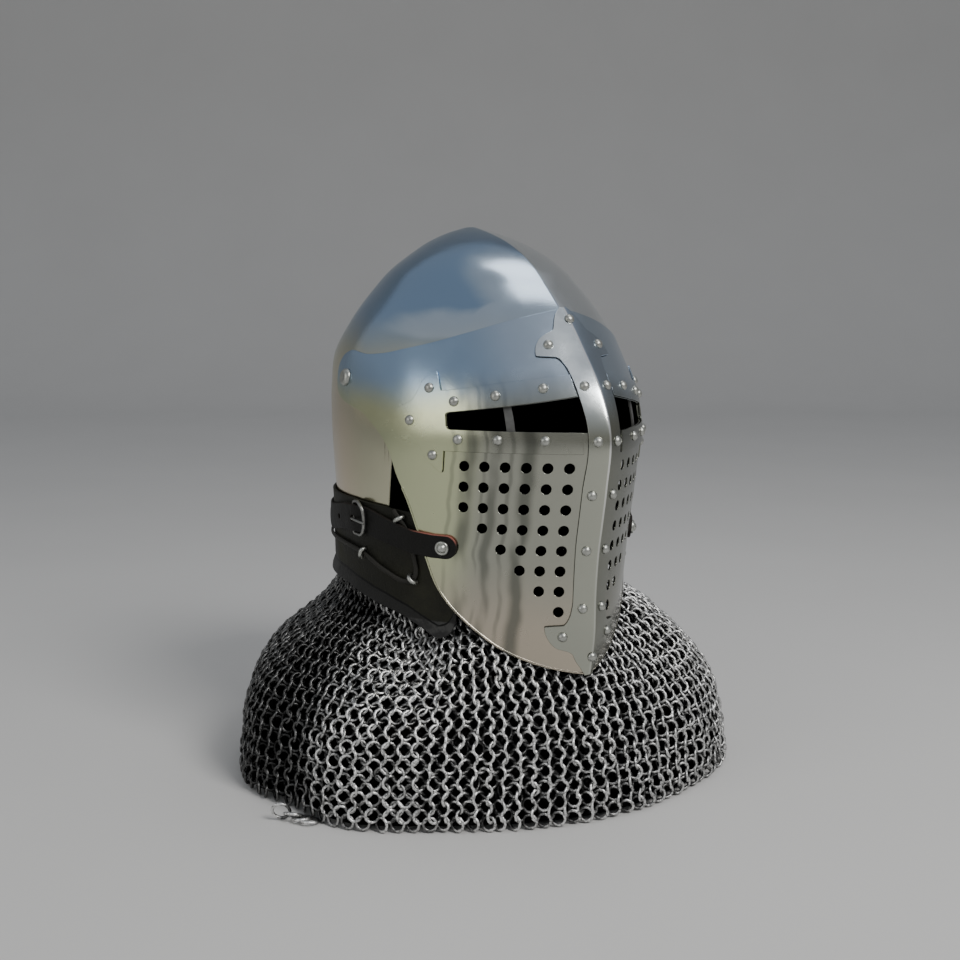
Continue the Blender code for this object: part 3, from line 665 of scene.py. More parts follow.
# Keel strip: a folded strip of brighter steel riveted down the keel, with a three-lobed end
# over the brow and another on the chin.
APPLIED_GAP, APPLIED_WALL = 0.6, 1.2
PROUD = APPLIED_GAP + APPLIED_WALL
STRIP = ((105, 2.5), (111, 6), (117, 9.8), (121, 11.5), (123, 14), (125.5, 21.5),
         (130.5, 26), (137, 29), (141, 29.6), (142.5, 18.5), (146, 16.2), (151, 14.6),
         (161, 13.4), (180, 13.6), (213, 14.2), (238, 14.2), (267, 13), (284, 13),
         (307, 14.2), (321, 14.9), (326, 15.4), (331, 17), (333.2, 19), (334.2, 31),
         (339, 29.7), (345, 25.6), (349, 19.5), (351.5, 14.3), (356, 11.8), (362, 8.3),
         (367.5, 2.5))


def strip_painted_reflections(spot, x, y, z):
    """Painted reflections: brighter than the visor on its right face, duller on its left, and a
    painted highlight along the fold.
    """
    near = z.step(0.27, 0.32).mix((0.41, 0.42, 0.36), (0.74, 0.80, 0.84))
    far = z.step(0.28, 0.33).mix((0.22, 0.225, 0.19), (0.42, 0.50, 0.60))
    base = x.step(0.0, 0.0012).mix(near, far)
    # A painted highlight along the fold, weaker lower down.
    wear_and_highlight = (1 - (x ** 2.0).step(0.0, 0.0000012)) * (z.step(0.16, 0.30) * 0.6 + 0.15)
    return wear_and_highlight.mix(base, (1.0, 1.0, 1.0))


strip_steel = polished("strip_steel", 0.17, strip_painted_reflections)
strip_levels = np.unique(np.concatenate([np.linspace(105, 367.5, 170), [z for z, _ in STRIP],
                                         np.linspace(141, 142.5, 8), np.linspace(333.2, 334.2, 8)]))
half = flowing(STRIP, strip_levels) - EDGE_ROUND
strip_right = np.stack([run_across(half, strip_levels), strip_levels], -1)
strip_outline = np.concatenate([strip_right, strip_right[::-1] * (-1, 1)])
strip = plate("keel_strip_plate", strip_outline, [], lambda run, level: PROUD, APPLIED_WALL, 3.0,
              strip_steel, fine_keel=True)
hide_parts("keel_strip")
shade_line("strip_seam", strip_outline, radius=0.6)

# Sight bands: a riveted frame of the same bright sheet round each sight, that ends in a
# three-pointed leaf on the cheek.
BAND_START = 7.6
BAND_TOP = ((0, 322), (7, 321), (22, 317), (35, 313), (47, 309.5), (47.6, 323), (50, 320.5),
            (52.5, 316), (55, 307.5), (57, 302), (61, 298), (63.6, 294), (64.8, 287.5))
BAND_BOTTOM = ((0, 268), (47.3, 268), (47.6, 252.5), (50.5, 257), (53.5, 264), (55.2, 271),
               (59, 273.5), (62, 276), (64.2, 279.5), (64.8, 283.5))
band_turns = np.unique(np.concatenate([np.linspace(BAND_START, 64.8, 150),
                                       np.linspace(46.9, 47.8, 14)]))
cheek_edge = edge_line(band_turns, flowing(BAND_BOTTOM, band_turns))
brow_edge = edge_line(band_turns, flowing(BAND_TOP, band_turns))
for side_name, s in SIDES:
    loop = np.concatenate([cheek_edge, brow_edge[::-1]])
    if s < 0:
        loop = (loop * (-1, 1))[::-1]
    band = plate("sight_frame_" + side_name, loop, [sight_loop(s)], lambda run, level: PROUD,
                 APPLIED_WALL, 3.5, visor_steel)
    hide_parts("sight_band_" + side_name)
    for name, edge, last, radius in (("band_seam_", cheek_edge, 48.6, 0.6),
                                     ("brow_seam_", brow_edge, 47.0, 0.25)):
        shade_line(name + side_name, edge[band_turns < last] * (s, 1),
                   radius=radius, closed=False)

# Sight bars: a flat upright riveted inside behind each sight, left dull.
BAR_X, BAR_WIDTH, BAR_FOOT, BAR_TOP, BAR_WALL, BAR_GAP = 55.7, 4.2, 278.0, 307.0, 1.5, 0.9
bar_steel = plain("bar_steel", (160.0, 4.0, 0.6), (0.09, 0.09, 0.09), (0.24, 0.24, 0.23),
                  rough=(0.35, 0.25), Metallic=1.0)
for side_name, s in SIDES:
    x = BAR_X + BAR_WIDTH / 2 * np.array((-1, 1, 1, -1))
    z = np.array((BAR_FOOT, BAR_FOOT, BAR_TOP, BAR_TOP))
    loop = resampled(np.stack([run_across(s * x, z), z], -1)[::s], 3.0)
    bar = plate("sight_upright_" + side_name, loop, [], lambda run, level: -VISOR_WALL - BAR_GAP,
                BAR_WALL, 2.5, bar_steel, edge=0.25)
    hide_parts("sight_bar_" + side_name)

# Rivets: domed steel heads that fasten the strip and the bands, larger ones for the strap and
# low wide heads on the visor's two pivots.
# The width and the rise of each kind of head, and how high it stands over the form (mm).
RIVET_HEAD, RIVET_SEAT = (7.4, 2.6), PROUD + 0.35
PIVOT_HEAD, PIVOT_SEAT = (13.5, 3.2), 0.4
STRAP_HEAD, STRAP_SEAT = (11.0, 3.6), 3.2
RIVETS = (
    ("band_top_1", 80.8, 302.3), ("band_top_2", 60.2, 306.6), ("band_top_3", 33.7, 311.8),
    ("band_low_1", 81.0, 276.2), ("band_low_2", 62.1, 276.6), ("band_low_3", 37.5, 276.6),
    ("fleur_top", 90.5, 311.2), ("fleur_mid", 101.0, 288.2), ("fleur_low", 92.0, 264.4),
    ("strip_1", 8.8, 313.3), ("strip_2", 7.4, 276.2), ("strip_3", 8.1, 238.4),
    ("strip_4", 7.4, 198.0), ("strip_5", 7.4, 155.4), ("lobe_low", 18.6, 134.3),
    ("lobe_top", 21.0, 341.3),
)    # distance from the mid plane and level of each on one side (mm)
KEEL_RIVETS = (("keel_low", 119.4), ("keel_top", 359.0))
STRAP_RIVET = (116, 196.5)
PIVOT = (91.4, 316)
SUNK = 0.12               # how far a head goes into its sheet, as a share of its rise
DOME = ((0, 1.0), (0.30, 0.96), (0.55, 0.82), (0.76, 0.60), (0.90, 0.34), (0.97, 0.14), (1, 0))
WASHER = ((0, 1.0), (0.22, 0.98), (0.42, 0.86), (0.56, 0.62), (0.62, 0.36), (0.66, 0.30),
          (0.78, 0.40), (0.90, 0.36), (0.97, 0.2), (1, 0))
LOW_HEAD = ((0, 0.80), (0.34, 0.80), (0.52, 0.95), (0.70, 0.92), (0.86, 0.62), (0.96, 0.3),
            (1, 0))
rivet_steel = plain("rivet_steel", (420.0, 4.0, 0.6), (0.28, 0.285, 0.26), (0.60, 0.61, 0.57),
                    rough=(0.28, 0.2), bump=(0.3, 0.0003), Metallic=1.0)


def seat(turn, level, out):
    """Where a head stands on the form: its foot, and three axes with the last outward."""
    foot = skin(turn, level, out)
    normal = facing(turn, level)
    side = np.cross((0, 0, 1), normal)
    side /= np.linalg.norm(side)
    return foot, side, np.cross(normal, side), normal


def head(name, node, profile, sizes, place):
    """A turned head from a profile given as shares of its half width and its rise."""
    size, rise = sizes
    foot, side, up, normal = place
    bm = bmesh.new()
    line = [bm.verts.new((r * size / 2, 0, z * rise))
            for r, z in (*profile, (1, -SUNK), (0, -SUNK))]
    for a, b in zip(line, line[1:]):
        bm.edges.new((a, b))
    bmesh.ops.spin(bm, geom=bm.verts[:] + bm.edges[:], cent=(0, 0, 0), axis=(0, 0, 1),
                   angle=2 * math.pi, steps=24)
    bmesh.ops.remove_doubles(bm, verts=bm.verts, dist=0.01)
    bmesh.ops.recalc_face_normals(bm, faces=bm.faces)
    bm.transform(Matrix.Translation(foot)
                 @ Matrix(np.stack([side, up, normal], 1).tolist()).to_4x4())
    corners = [tuple(v.co) for v in bm.verts]
    bm.verts.index_update()
    faces = [tuple(v.index for v in f.verts) for f in bm.faces]
    bm.free()
    made = solid(name, corners, faces, None, rivet_steel)
    made.data.set_sharp_from_angle(angle=math.radians(50))
    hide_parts(node)


for name, x, z in RIVETS:
    for side_name, s in SIDES:
        head(f"head_{side_name}_{name}", f"rivet_{side_name}_{name}", DOME, RIVET_HEAD,
             seat(turn_at(run_across(s * x, z)), z, RIVET_SEAT))
for name, z in KEEL_RIVETS:
    head("head_" + name, "rivet_" + name, DOME, RIVET_HEAD, seat(0.0, z, RIVET_SEAT))
for side_name, s in SIDES:
    head("pivot_head_" + side_name, "pivot_" + side_name, LOW_HEAD, PIVOT_HEAD,
         seat(s * math.radians(PIVOT[0]), PIVOT[1], PIVOT_SEAT))
    head("strap_head_" + side_name, "strap_rivet_" + side_name, WASHER, STRAP_HEAD,
         seat(turn_at(s * STRAP_RIVET[0]), STRAP_RIVET[1], STRAP_SEAT))

# Collar: one band of thick oiled leather, black with an olive cast, that hides the skull's
# lower edge. A sewn welt follows its lower edge, and it ends in a point on the right.
LEATHER_WALL = 2.2
COLLAR_TOP = ((43, 216), (60, 219), (71, 222), (90, 224), (180, 222))
COLLAR_BOTTOM = ((43, 151), (120, 154), (180, 156), (242, 157), (263, 157), (278, 152),
                 (290, 146), (300, 137), (306, 130.5), (311, 125), (313.5, 127), (315, 130),
                 (317, 140))


def hide(name, colour, wear_and_highlight, rough, dye=None):
    """Oiled leather: fine grain, a few creases, and a paler bloom where it is rubbed."""
    made, spot, wire_up = finish_of(name, Specular_IOR_Level=0.25)
    grain = spot.node("TexVoronoi", {"feature": "SMOOTH_F1"}, Vector=spot, Scale=700.0,
                      Smoothness=0.7)
    pores = spot.noise(1500.0, 3.0, 0.6)
    rubbed = spot.noise(22.0, 5.0, 0.62, 0.4)
    creases = spot.stretched(1, 1, 0.3).noise(120.0, 3.0, 0.55, 1.2)
    colour = rubbed.step(0.42, 0.72).mix(colour, wear_and_highlight)
    relief = grain * 0.8 + pores * 0.35 + creases.step(0.5, 0.62) * 0.5
    wire_up(Base_Color=dye(spot, colour) if dye else colour,
            Roughness=rough + rubbed.step(0.3, 0.8) * 0.16 + pores * 0.08,
            Normal=relief.bump(0.35, 0.0005))
    return made


# The foot's flare, the height of the welt's seam over the lower edge and its groove, and how far
# the leather dips under the visor (mm).
FOOT_FLARE, WELT, GROOVE, UNDER_VISOR = 2.8, 9.5, 0.9, 3.0


def collar_dye(spot, colour):
    """Greyer below the welt, black in its seam, and rubbed grey on the tip."""
    mark, level = spot.marked("mark"), spot.parts()[2]
    scuffs = spot.noise(130.0, 4.0, 0.65, 0.6).step(0.38, 0.62)
    colour = (1 - mark.step(WELT - 0.6, WELT)).mix(colour, (0.019, 0.019, 0.018))
    tip = 1 - level.step(0.1375, 0.1395)
    colour = tip.mix(colour, scuffs.mix((0.028, 0.028, 0.028), (0.062, 0.062, 0.060)))
    seam = 1 - mark.away_from(WELT).step(0.5, 1.1)
    return (seam * level.step(0.133, 0.136)).mix(colour, (0.001, 0.001, 0.001))


collar_leather = hide("collar_leather", (0.011, 0.011, 0.007), (0.024, 0.024, 0.014), 0.50,
                      collar_dye)


def collar_out(turn):
    """Lift of the leather's outer face (mm) by turn (degrees): it dips under the visor."""
    return 0.6 - UNDER_VISOR * (1 - ease(turn, 59, 72))


def collar_lift(run, level):
    """The same with the flare at its foot and the groove of its welt."""
    turn = np.degrees(turn_at(run))
    flat = np.minimum(turn, 360 - turn)
    foot = straight(COLLAR_BOTTOM, turn)
    flare = FOOT_FLARE * (1 - ease(level - foot, 0, 11)) * ease(flat, 60, 75)
    groove = GROOVE * np.exp(-((level - foot - WELT) / 1.2) ** 2)
    return collar_out(flat) + flare - groove


collar_turns = np.linspace(43, 317, 420)
head_line = straight(COLLAR_TOP, np.minimum(collar_turns, 360 - collar_turns))
loop = np.concatenate([edge_line(collar_turns, flowing(COLLAR_BOTTOM, collar_turns)),
                       edge_line(collar_turns, head_line)[::-1]])
collar = plate("leather_collar", loop, [], collar_lift, LEATHER_WALL, 2.4, collar_leather,
               edge=0.6,
               mark=lambda run, level: level - straight(COLLAR_BOTTOM, np.degrees(turn_at(run))))
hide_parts("collar")

# Straps: a stout strap riveted to each cheek of the visor, with a dark face and a red-brown cut
# edge. It runs round the nape, and its right end passes through the buckle.
STRAP_WIDTH, STRAP_START, STRAP_TAIL, ROUNDED_END = 20.0, 105.0, 50.0, 8.5
STRAP_TAPER = 0.16        # share of its width that it loses towards the rivets
STRAP_GAP, ONTO_COLLAR, OVER_BAR = 0.3, 0.9, 3.0
BAR_RUN, BUCKLE_LENGTH, BUCKLE_WIRE = 206.0, 17.0, 2.6
PUNCHED = ((-3, 5.2), (22, 4.0))
STRAP_LINE = ((105, 196.8), (125, 197), (142, 198.7), (163, 203.8), (182, 208.5), (198, 210.7),
              (217, 210), (240, 206.5), (265, 202.8), (285, 201.5), (330, 201), (420, 201))
strap_leather = hide("strap_leather", (0.004, 0.0038, 0.003), (0.011, 0.010, 0.008), 0.42)
cut_edge, spot, wire_up = finish_of("strap_cut_edge", Specular_IOR_Level=0.3)
fibre = spot.noise(500.0, 4.0, 0.6)
x, y, z = spot.parts()
bare = (y * -1.0).step(0.083, 0.096) * z.step(0.198, 0.203) * (1 - x.step(-0.01, 0.0))
wire_up(Base_Color=bare.mix(
            (0.012, 0.009, 0.007), fibre.mix((0.16, 0.04, 0.028), (0.36, 0.14, 0.11))),
        Roughness=0.6 + fibre * 0.2,
        Normal=fibre.bump(0.4, 0.0004))


def strap_lift(run):
    """Lift of a strap's face: it rises from the visor onto the leather."""
    return STRAP_GAP + LEATHER_WALL + ONTO_COLLAR * ease(run, 122, 150)


def tail_lift(run):
    """The same for the tail, which climbs over the buckle's bar and settles behind it."""
    climb = OVER_BAR * ease(run, BAR_RUN - 15, BAR_RUN - 2)
    return strap_lift(run) + climb - 0.4 * ease(run, BAR_RUN + 3, BAR_RUN + 11)


def strap_loop(start, end, round_start, round_end):
    """The flat outline of a strap along its line, from run start to run end."""
    runs = np.unique(np.concatenate([np.linspace(start, start + 12, 16),
                                     np.arange(start + 12, end - 12, 4.0),
                                     np.linspace(end - 12, end, 16)]))
    near_start = np.clip(1 - (runs - start) / ROUNDED_END, 0, 1) * round_start
    near_end = np.clip(1 - (end - runs) / ROUNDED_END, 0, 1) * round_end
    from_keel = np.minimum(runs, ROUND - runs)
    half = STRAP_WIDTH / 2 * (1 - STRAP_TAPER * (1 - ease(from_keel, 140, 195)))
    half *= np.sqrt(np.clip(1 - np.maximum(near_start, near_end) ** 2, 0.02, 1))
    centre = straight(STRAP_LINE, from_keel)
    return np.concatenate([np.stack([runs, centre - half], -1),
                           np.stack([runs, centre + half], -1)[::-1]])


def crowned(lift, run, level):
    """A strap's lift, a little lower towards its two edges."""
    centre = straight(STRAP_LINE, np.minimum(abs(run), ROUND - abs(run)))
    return lift - 0.35 * (abs(level - centre) / (STRAP_WIDTH / 2)) ** 4


tail = (strap_loop(STRAP_START, BAR_RUN + STRAP_TAIL, 1, 1) * (-1, 1))[::-1]
punched = [circle(-(BAR_RUN + past), straight(STRAP_LINE, BAR_RUN + past), size / 2 + EDGE_ROUND,
                  18) for past, size in PUNCHED]
visor_strap = plate("strap_visor_end", tail, punched,
                    lambda run, level: crowned(tail_lift(-run), run, level), LEATHER_WALL, 2.6,
                    (strap_leather, cut_edge))
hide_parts("visor_strap")
nape = strap_loop(STRAP_START, ROUND - BAR_RUN - 2, 1, 0)
nape_strap = plate("strap_nape", nape, [],
                   lambda run, level: crowned(strap_lift(np.minimum(run, ROUND - run)), run, level),
                   LEATHER_WALL, 3.2, (strap_leather, cut_edge))
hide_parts("nape_strap")

# Buckle: a D of dull grey wire with a plain prong, at the right side.
buckle_steel = plain("buckle_steel", (300.0, 4.0, 0.65), (0.16, 0.16, 0.15), (0.42, 0.42, 0.40),
                     rough=(0.26, 0.25), bump=(0.3, 0.0004), Metallic=1.0)
BUCKLE_SHAPE = ((0, -0.85), (0, -0.4), (0, 0), (0, 0.4), (0, 0.85), (0.06, 0.97), (0.2, 1),
                (0.45, 1), (0.7, 0.95), (0.88, 0.78), (0.97, 0.5), (1, 0.2), (1, -0.2),
                (0.97, -0.5), (0.88, -0.78), (0.7, -0.95), (0.45, -1), (0.2, -1), (0.06, -0.97))
PRONG_LINE = ((-2, 5.2), (-3.4, 6.9), (-6, 7.9), (-11, 8.2), (-16, 8.2), (-20, 7.9))


def curve_through(points, pieces, closed=False):
    """A smooth line through points, with a number of pieces between each two."""
    line = np.asarray(points, float)
    line = np.concatenate([line[-1:], line, line[:2]]) if closed else \
        np.concatenate([2 * line[:1] - line[1:2], line, 2 * line[-1:] - line[-2:-1]])
    made = []
    for a, b, c, d in zip(line, line[1:], line[2:], line[3:]):
        for t in np.arange(pieces) / pieces:
            made.append(0.5 * (2 * b + (c - a) * t + (2 * a - 5 * b + 4 * c - d) * t * t
                               + (3 * b - a - 3 * c + d) * t ** 3))
    if not closed:
        made.append(line[-2])
    return np.array(made)


shape = curve_through(BUCKLE_SHAPE, 4, closed=True)
shape[:, 0] = np.clip(shape[:, 0], 0, 1.02)
runs = BAR_RUN - shape[:, 0] * BUCKLE_LENGTH
half = STRAP_WIDTH / 2 + BUCKLE_WIRE
rise = 1.4 + BUCKLE_WIRE / 2 + (LEATHER_WALL + 0.3) * ease(shape[:, 0], 0.25, 0.85)
buckle = tube("buckle_wire", skin(turn_at(-runs), straight(STRAP_LINE, runs) + shape[:, 1] * half,
                                  rise), BUCKLE_WIRE / 2, 12, buckle_steel, closed=True)
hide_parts("buckle_frame")
prong = curve_through([skin(turn_at(-(BAR_RUN + r)), straight(STRAP_LINE, BAR_RUN + r), o)
                       for r, o in PRONG_LINE], 5)
prong = tube("buckle_tongue", prong, 0.9, 10, buckle_steel)
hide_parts("buckle_prong")

# Staples and lace: bent wire staples stand through slits in the leather, and a dark waxed lace
# runs through them and round the nape to hold the mail's edge on.
STAPLE_WIRE, STAPLE_HALF, LEG, ARCH, LACE_WIDTH = 3.4, 3.4, 1.6, 3.0, 3.9
STAPLES = (("rear", 80.8, 184, 15), ("front", 58, 169.5, -45), ("upper", 63.4, 214.5, 60))
LACE = ((65.5, 220.5, 1.8), (63.4, 214.5, 2.2), (62, 210, 1.55), (60.6, 205, 1.5), (59, 195, 1.5),
        (57.8, 186, 1.5), (57, 178, 1.6), (57, 173, 1.9), (58, 169.5, 2.2), (60.2, 167.2, 2.2),
        (63.5, 168, 2.2), (71, 175.5, 2.2), (80.8, 184, 2.2), (95, 187.5, 2.2), (112, 187.5, 2.0),
        (128, 187, 2.0), (155, 187, 2.0), (180, 187, 2.0))


for name, turn, level, lean in STAPLES:
    for side_name, s in SIDES:
        foot = collar_out(turn) + 0.3 + (0.5 if turn < 72 else 0)
        place, side, up, normal = seat(s * math.radians(turn), level, foot)
        tilt = math.radians(s * lean)
        along = up * math.cos(tilt) - side * math.sin(tilt)
        arch = [(STAPLE_HALF, 0.0)] + [(STAPLE_HALF * math.cos(a), LEG + ARCH * math.sin(a))
                                       for a in np.linspace(0, math.pi, 15)] + [(-STAPLE_HALF, 0.0)]
        made = tube(f"staple_wire_{side_name}_{name}",
                    [place + along * across + normal * high for across, high in arch],
                    STAPLE_WIRE / 2, 10, rivet_steel, out=[np.cross(along, normal)] * len(arch))
        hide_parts(f"staple_{side_name}_{name}")
lace_table = [(i, *row) for i, row in enumerate(LACE)]
at = np.linspace(0, len(LACE) - 1, 150)
turn, level, lift = (smooth(lace_table, c, at) for c in (1, 2, 3))
right_turn, left_turn = np.radians(-turn), np.radians(turn)
lace_line = np.concatenate([skin(right_turn, level, collar_out(turn) + lift),
                            skin(left_turn, level, collar_out(turn) + lift)[-2::-1]])
lace_finish = plain("lace_waxed", (900.0, 3.0, 0.6), (0.008, 0.008, 0.006), (0.030, 0.028, 0.022),
                    rough=(0.5, 0.25), bump=(0.5, 0.0005), Specular_IOR_Level=0.35)
lace_out = np.concatenate([facing(right_turn, level), facing(left_turn, level)[-2::-1]])
lace = tube("lace_cord", lace_line, LACE_WIDTH / 2, 12, lace_finish, out=lace_out, flat=0.55)
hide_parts("lace")

# Mail: some three thousand round steel rings, four through one, that hang in columns from under
# the leather. Odd and even columns lean opposite ways, more where the mail narrows. Their outer
# sides are brighter, partly from wear and partly painted light, and their inner sides are darkened
# by painted shade.
NECK = (0.904, 0.549, 0.931)
MAIL_REACH = 214.0
HEM = ((-180, 0.888), (-150, 0.869), (-125, 0.879), (-108, 0.883), (-92, 0.916), (-78, 0.949),
       (-68, 0.944), (-59, 0.916), (-50, 0.888), (-39, 0.864), (-28, 0.850), (-17, 0.855),
       (-8, 0.864), (2, 0.883), (14, 0.907), (28, 0.939), (39, 0.972), (51, 1.000), (62, 0.995),
       (75, 0.972), (90, 0.944), (110, 0.916), (132, 0.893), (155, 0.883), (180, 0.888))
FLARE = ((0, 1.0), (20, 0.985), (40, 0.955), (57, 0.92), (70, 0.87), (84, 0.8), (98, 0.71),
         (110, 0.61), (121, 0.5), (132, 0.37), (142, 0.2), (150, 0.07), (157, 0.0), (164, 0.0))
MAIL_EDGE = ((-180, 152), (-115, 150), (-92, 145), (-76, 139), (-63, 131), (-56, 124), (-50, 119),
             (-44, 122), (-38, 134), (-28, 148), (0, 146), (15, 138), (28, 136), (36, 138),
             (45, 146), (60, 148), (180, 152))
FOLDS = ((-55, 10, 4.0), (-74, 10, -14.0), (-98, 14, 2.0), (-140, 14, -5.0), (-165, 12, 3.0),
         (90, 12, -5.0), (116, 14, 5.0), (150, 13, -5.0), (20, 14, -2.0))
# How bright the rings are painted for the light and shade where they hang, and how much of their
# lean they keep, by turn (degrees).
RING_LIGHT = ((-180, 0.6), (-125, 0.32), (-108, 0.24), (-88, 0.20), (-78, 0.20), (-71, 0.24),
          (-65, 0.9), (-58, 1.6), (-46, 1.6), (-40, 1.25), (-28, 1.3), (-5, 1.25), (15, 0.95),
          (90, 1.0), (180, 0.7))
LEAN_KEPT = ((-180, 1.0), (-74, 1.0), (-64, 0.62), (-44, 0.62), (-32, 1.0), (180, 1.0))
# Which columns stay dark, by turn: above 0 the even ones, below 0 the odd ones.
SHADED = ((-180, 0.0), (-150, -0.8), (-80, -0.8), (-70, 0.0), (-64, 0.6), (-46, 0.6), (-34, 0.1),
          (-20, 0.0), (180, 0.0))
RING_REACH, RING_WIRE, RING_SIDES, WIRE_SIDES = 5.0, 1.2, 12, 5
RINGS_ROUND, ROW_PITCH = 108, 5.9
CHAIN_SHARE = 0.39        # of the pitch, from a ring's middle to its front side
# Out to a turn the rows end inside the visor, this far (mm) above its lower edge.
VISOR_COVERS, TOP_INSIDE_VISOR = 38, 14
# Where the mail falls straighter than its solid: turn, its reach, level, its reach and the depth.
PULL_TURN, TURN_REACH, PULL_LEVEL, LEVEL_REACH, PULL_DEPTH = -121, 36, 124, 22, 16.0


def skirt(turn, level):
    """Points in the middle of the mail's wall: turn (degrees), level (mm)."""
    turn, level = np.broadcast_arrays(np.asarray(turn, float), np.asarray(level, float))
    turn = (turn + 180) % 360 - 180
    read = level + (156 - straight(MAIL_EDGE, turn)) * ease(level, 55, 115)
    part = smooth(FLARE, 1, np.minimum(read, 164))
    rise = sum(r * np.exp(-(((turn - t + 180) % 360 - 180) / w) ** 2) for t, w, r in FOLDS)
    a = np.radians(turn)
    way = np.stack([np.sin(a), -np.cos(a), 0 * a], -1)
    half, front, rear = (n * size for n, size in zip(NECK, (HELM_HALF, HELM_FRONT, HELM_BACK)))
    neck = 1 / np.hypot(way[..., 0] / half, way[..., 1] / np.where(way[..., 1] < 0, front, rear))
    reach = neck + (smooth(HEM, 1, turn) * MAIL_REACH - neck + rise) * part - 1.5
    reach -= PULL_DEPTH * np.exp(-((turn - PULL_TURN) / TURN_REACH) ** 2
                                 - ((level - PULL_LEVEL) / LEVEL_REACH) ** 2)
    made = way * reach[..., None]
    made[..., 2] = level
    return made


def unit(ways):
    return ways / np.linalg.norm(ways, axis=-1, keepdims=True)


def skirt_axes(turn, level):
    """Ways across, up and out of the mail's wall, and its width there per degree."""
    across = skirt(turn + 1.0, level) - skirt(turn - 1.0, level)
    width = np.linalg.norm(across, axis=-1) / 2
    upward = unit(skirt(turn, level + 1.5) - skirt(turn, np.maximum(level - 1.5, 0.1)))
    across = unit(across)
    return across, upward, unit(np.cross(across, upward)), width


spoke_angles = np.arange(RING_SIDES) * 2 * math.pi / RING_SIDES
wire_angles = np.arange(WIRE_SIDES) * 2 * math.pi / WIRE_SIDES
ring_faces = np.array(flipped(lattice(RING_SIDES, WIRE_SIDES, True, True)))


def rings(name, centre, first, second, outward, rubbed, reach=RING_REACH):
    """One mesh of rings that lie in the planes of two axes, each point painted with its light and
    wear and darker towards the ring's inner side as painted shade.
    """
    axis = np.cross(first, second)
    spoke, wire = spoke_angles[None, :, None], wire_angles[None, None, :, None]
    spokes = np.cos(spoke) * first[:, None, :] + np.sin(spoke) * second[:, None, :]
    around = np.cos(wire) * spokes[:, :, None, :] + np.sin(wire) * axis[:, None, None, :]
    places = centre[:, None, None, :] + spokes[:, :, None, :] * reach + around * RING_WIRE
    depth = ((places - centre[:, None, None, :]) * outward[:, None, None, :]).sum(-1)
    shade = rubbed[:, None, None] * (0.09 + 0.91 * ease(depth, -1.1, 2.9))
    each = RING_SIDES * WIRE_SIDES
    faces = (np.arange(len(centre))[:, None, None] * each + ring_faces[None]).reshape(-1, 4)
    made = solid(name, places.reshape(-1, 3), faces.tolist(), None, mail_finish)
    made.data.attributes.new("rubbed", "FLOAT", "POINT").data.foreach_set(
        "value", np.clip(shade, 0, 1).ravel())
    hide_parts("mail_skirt")


mail_finish, spot, wire_up = finish_of("mail_steel", Metallic=1.0)
dirt = spot.noise(620.0, 3.0, 0.6)
# The marked value carries the rings' painted light and shade, and their wear.
tone = spot.marked("rubbed") * (dirt.step(0.36, 0.56) * 0.75 + 0.35)
wire_up(Base_Color=tone.mix((0.012, 0.012, 0.012), (0.86, 0.86, 0.85)),
        Roughness=0.30 + dirt * 0.2,
        Normal=dirt.bump(0.4, 0.0004))

# How unevenly the rings hang: turn (degrees), lean, tilt, depth (mm), brightness and level (mm),
# and how far the columns sway (degrees).
UNEVEN, SWAY = ((0.2,), (0.15,), (0.16,), (0.35,), (0.14,), (0.3,)), 0.45
OVER_EDGE = 9             # the columns run this far up under the leather (mm)
draw = np.random.default_rng(7)
BASE_LEVEL = RING_REACH + RING_WIRE + 0.2
fine = np.linspace(0, 158, 320)
ring_rows = []
for column in range(2 * RINGS_ROUND):
    odd = column % 2
    turn = column * 180 / RINGS_ROUND - 180
    line = skirt(turn, fine)
    arc = np.concatenate([[0], np.cumsum(np.linalg.norm(np.diff(line, axis=0), axis=1))])
    top_level = straight(MAIL_EDGE, turn) + OVER_EDGE
    if abs(turn) < VISOR_COVERS:
        top_level = min(top_level, flowing(VISOR_BOTTOM, abs(turn)) + TOP_INSIDE_VISOR)
    start, end = np.interp((BASE_LEVEL, top_level), fine, arc)
    places = np.arange(start + odd * ROW_PITCH, end, 2 * ROW_PITCH)
    ring_rows += [(turn, level, odd) for level in np.interp(places, arc, fine)]
turns, levels, odd = np.array(ring_rows).T
aside, leaning, tilted, deeper, brighter, higher = draw.normal(0, 1, (6, len(turns))) * UNEVEN
turns = turns + aside + SWAY * np.sin(levels / 15 + turns / 8)
levels = levels + higher
across, upward, outward, width = skirt_axes(turns, levels)
pitch = width * 360 / RINGS_ROUND
yaw = np.arccos(np.clip(CHAIN_SHARE * pitch / RING_REACH, 0.38, 0.93))
even = np.where(odd > 0.5, -1, 1)
yaw = (yaw * straight(LEAN_KEPT, turns) + leaning) * even
first = across * np.cos(yaw)[:, None] + outward * np.sin(yaw)[:, None]
second = upward + outward * tilted[:, None]
second = unit(second - first * (first * second).sum(-1, keepdims=True))
centres = skirt(turns, levels) + outward * deeper[:, None]
centres[:, 2] = np.maximum(centres[:, 2], abs(second[:, 2]) * RING_REACH + RING_WIRE + 0.15)
# Painted light and shade by where each ring hangs, with a random spread, and painted shade on one
# set of columns.
rubbed = straight(RING_LIGHT, turns) * np.clip(0.85 + brighter, 0.3, 1.2)
rubbed *= 1 - 0.7 * np.maximum(straight(SHADED, turns) * even, 0)
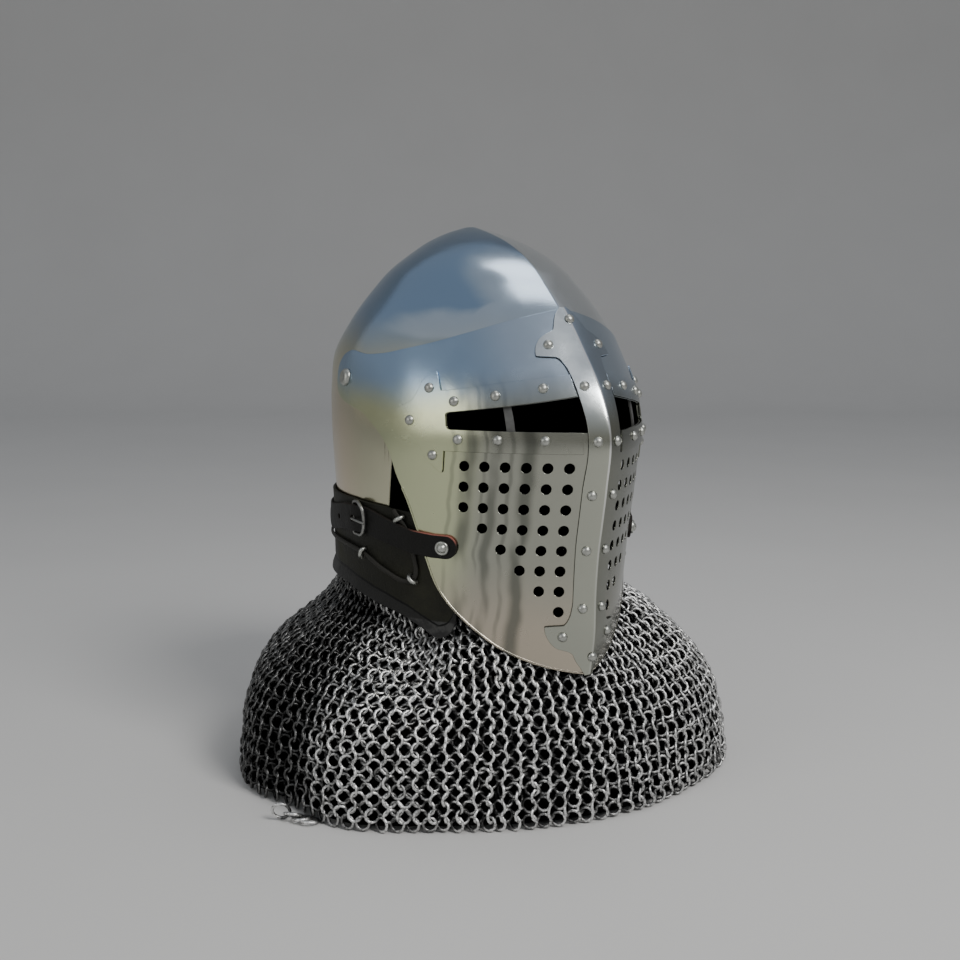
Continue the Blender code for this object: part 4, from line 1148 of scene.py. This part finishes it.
for end, behind in (("front", False), ("rear", True)):
    for side_name, s in SIDES:
        here = ((centres[:, 0] >= 0) == (s > 0)) & ((centres[:, 1] >= 0) == behind)
        rings(f"mail_{end}_{side_name}", centres[here], first[here], second[here], outward[here],
              rubbed[here])

# Loose end of the mail: a few larger rings of the hem that have slipped out at the right and lie
# on the floor, brighter than the rings beside them.
LOOSE = ((-71.0, 210.0, 7.8, 40, 72), (-69.3, 204.0, 4.6, 25, 28), (-67.6, 201.5, 2.6, 50, 12),
         (-65.6, 200.5, 2.4, 10, 10))    # turn, reach, level (mm), turn of its plane and its slope
LOOSE_REACH, LOOSE_BRIGHTNESS = 6.5, 1.6
loose = np.array(LOOSE)
a, plane, slope = np.radians(loose[:, 0]), np.radians(loose[:, 3]), np.radians(loose[:, 4])
way = np.stack([np.sin(a), -np.cos(a), 0 * a], -1)
level_way = np.stack([np.cos(a + plane), np.sin(a + plane), 0 * a], -1)
slope_way = np.cross((0, 0, 1), level_way) * -np.cos(slope)[:, None]
slope_way[:, 2] = np.sin(slope)
rings("mail_loose_end", way * loose[:, 1:2] + np.array((0, 0, 1)) * loose[:, 2:3], level_way,
      slope_way, way, np.full(len(loose), LOOSE_BRIGHTNESS), LOOSE_REACH)

# Depth of the mail, painted shade: a dark sheet just inside the rings. The photograph shows only
# black behind them, so this stands for the inner wires that no light reaches; its faint specks are
# painted glints of them.
DEPTH_INSIDE, DEPTH_COLUMNS, DEPTH_ROWS = 3.8, 180, 28
depth_turns = np.arange(DEPTH_COLUMNS) * 360 / DEPTH_COLUMNS - 180
depth_turns, depth_levels = np.meshgrid(depth_turns, np.linspace(4, 156, DEPTH_ROWS), indexing="ij")
sheet = skirt(depth_turns, depth_levels) - skirt_axes(depth_turns, depth_levels)[2] * DEPTH_INSIDE
shade_sheet_finish, spot, wire_up = finish_of("mail_painted_shade", Roughness=1.0, Specular_IOR_Level=0.0)
specks = spot.noise(260.0, 4.0, 0.7).step(0.55, 0.75)
wire_up(Base_Color=specks.mix((0.003, 0.003, 0.003), (0.03, 0.03, 0.03)))
depth = solid("mail_painted_shade", sheet.reshape(-1, 3), lattice(DEPTH_COLUMNS, DEPTH_ROWS), None,
              shade_sheet_finish)
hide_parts("mail_skirt")
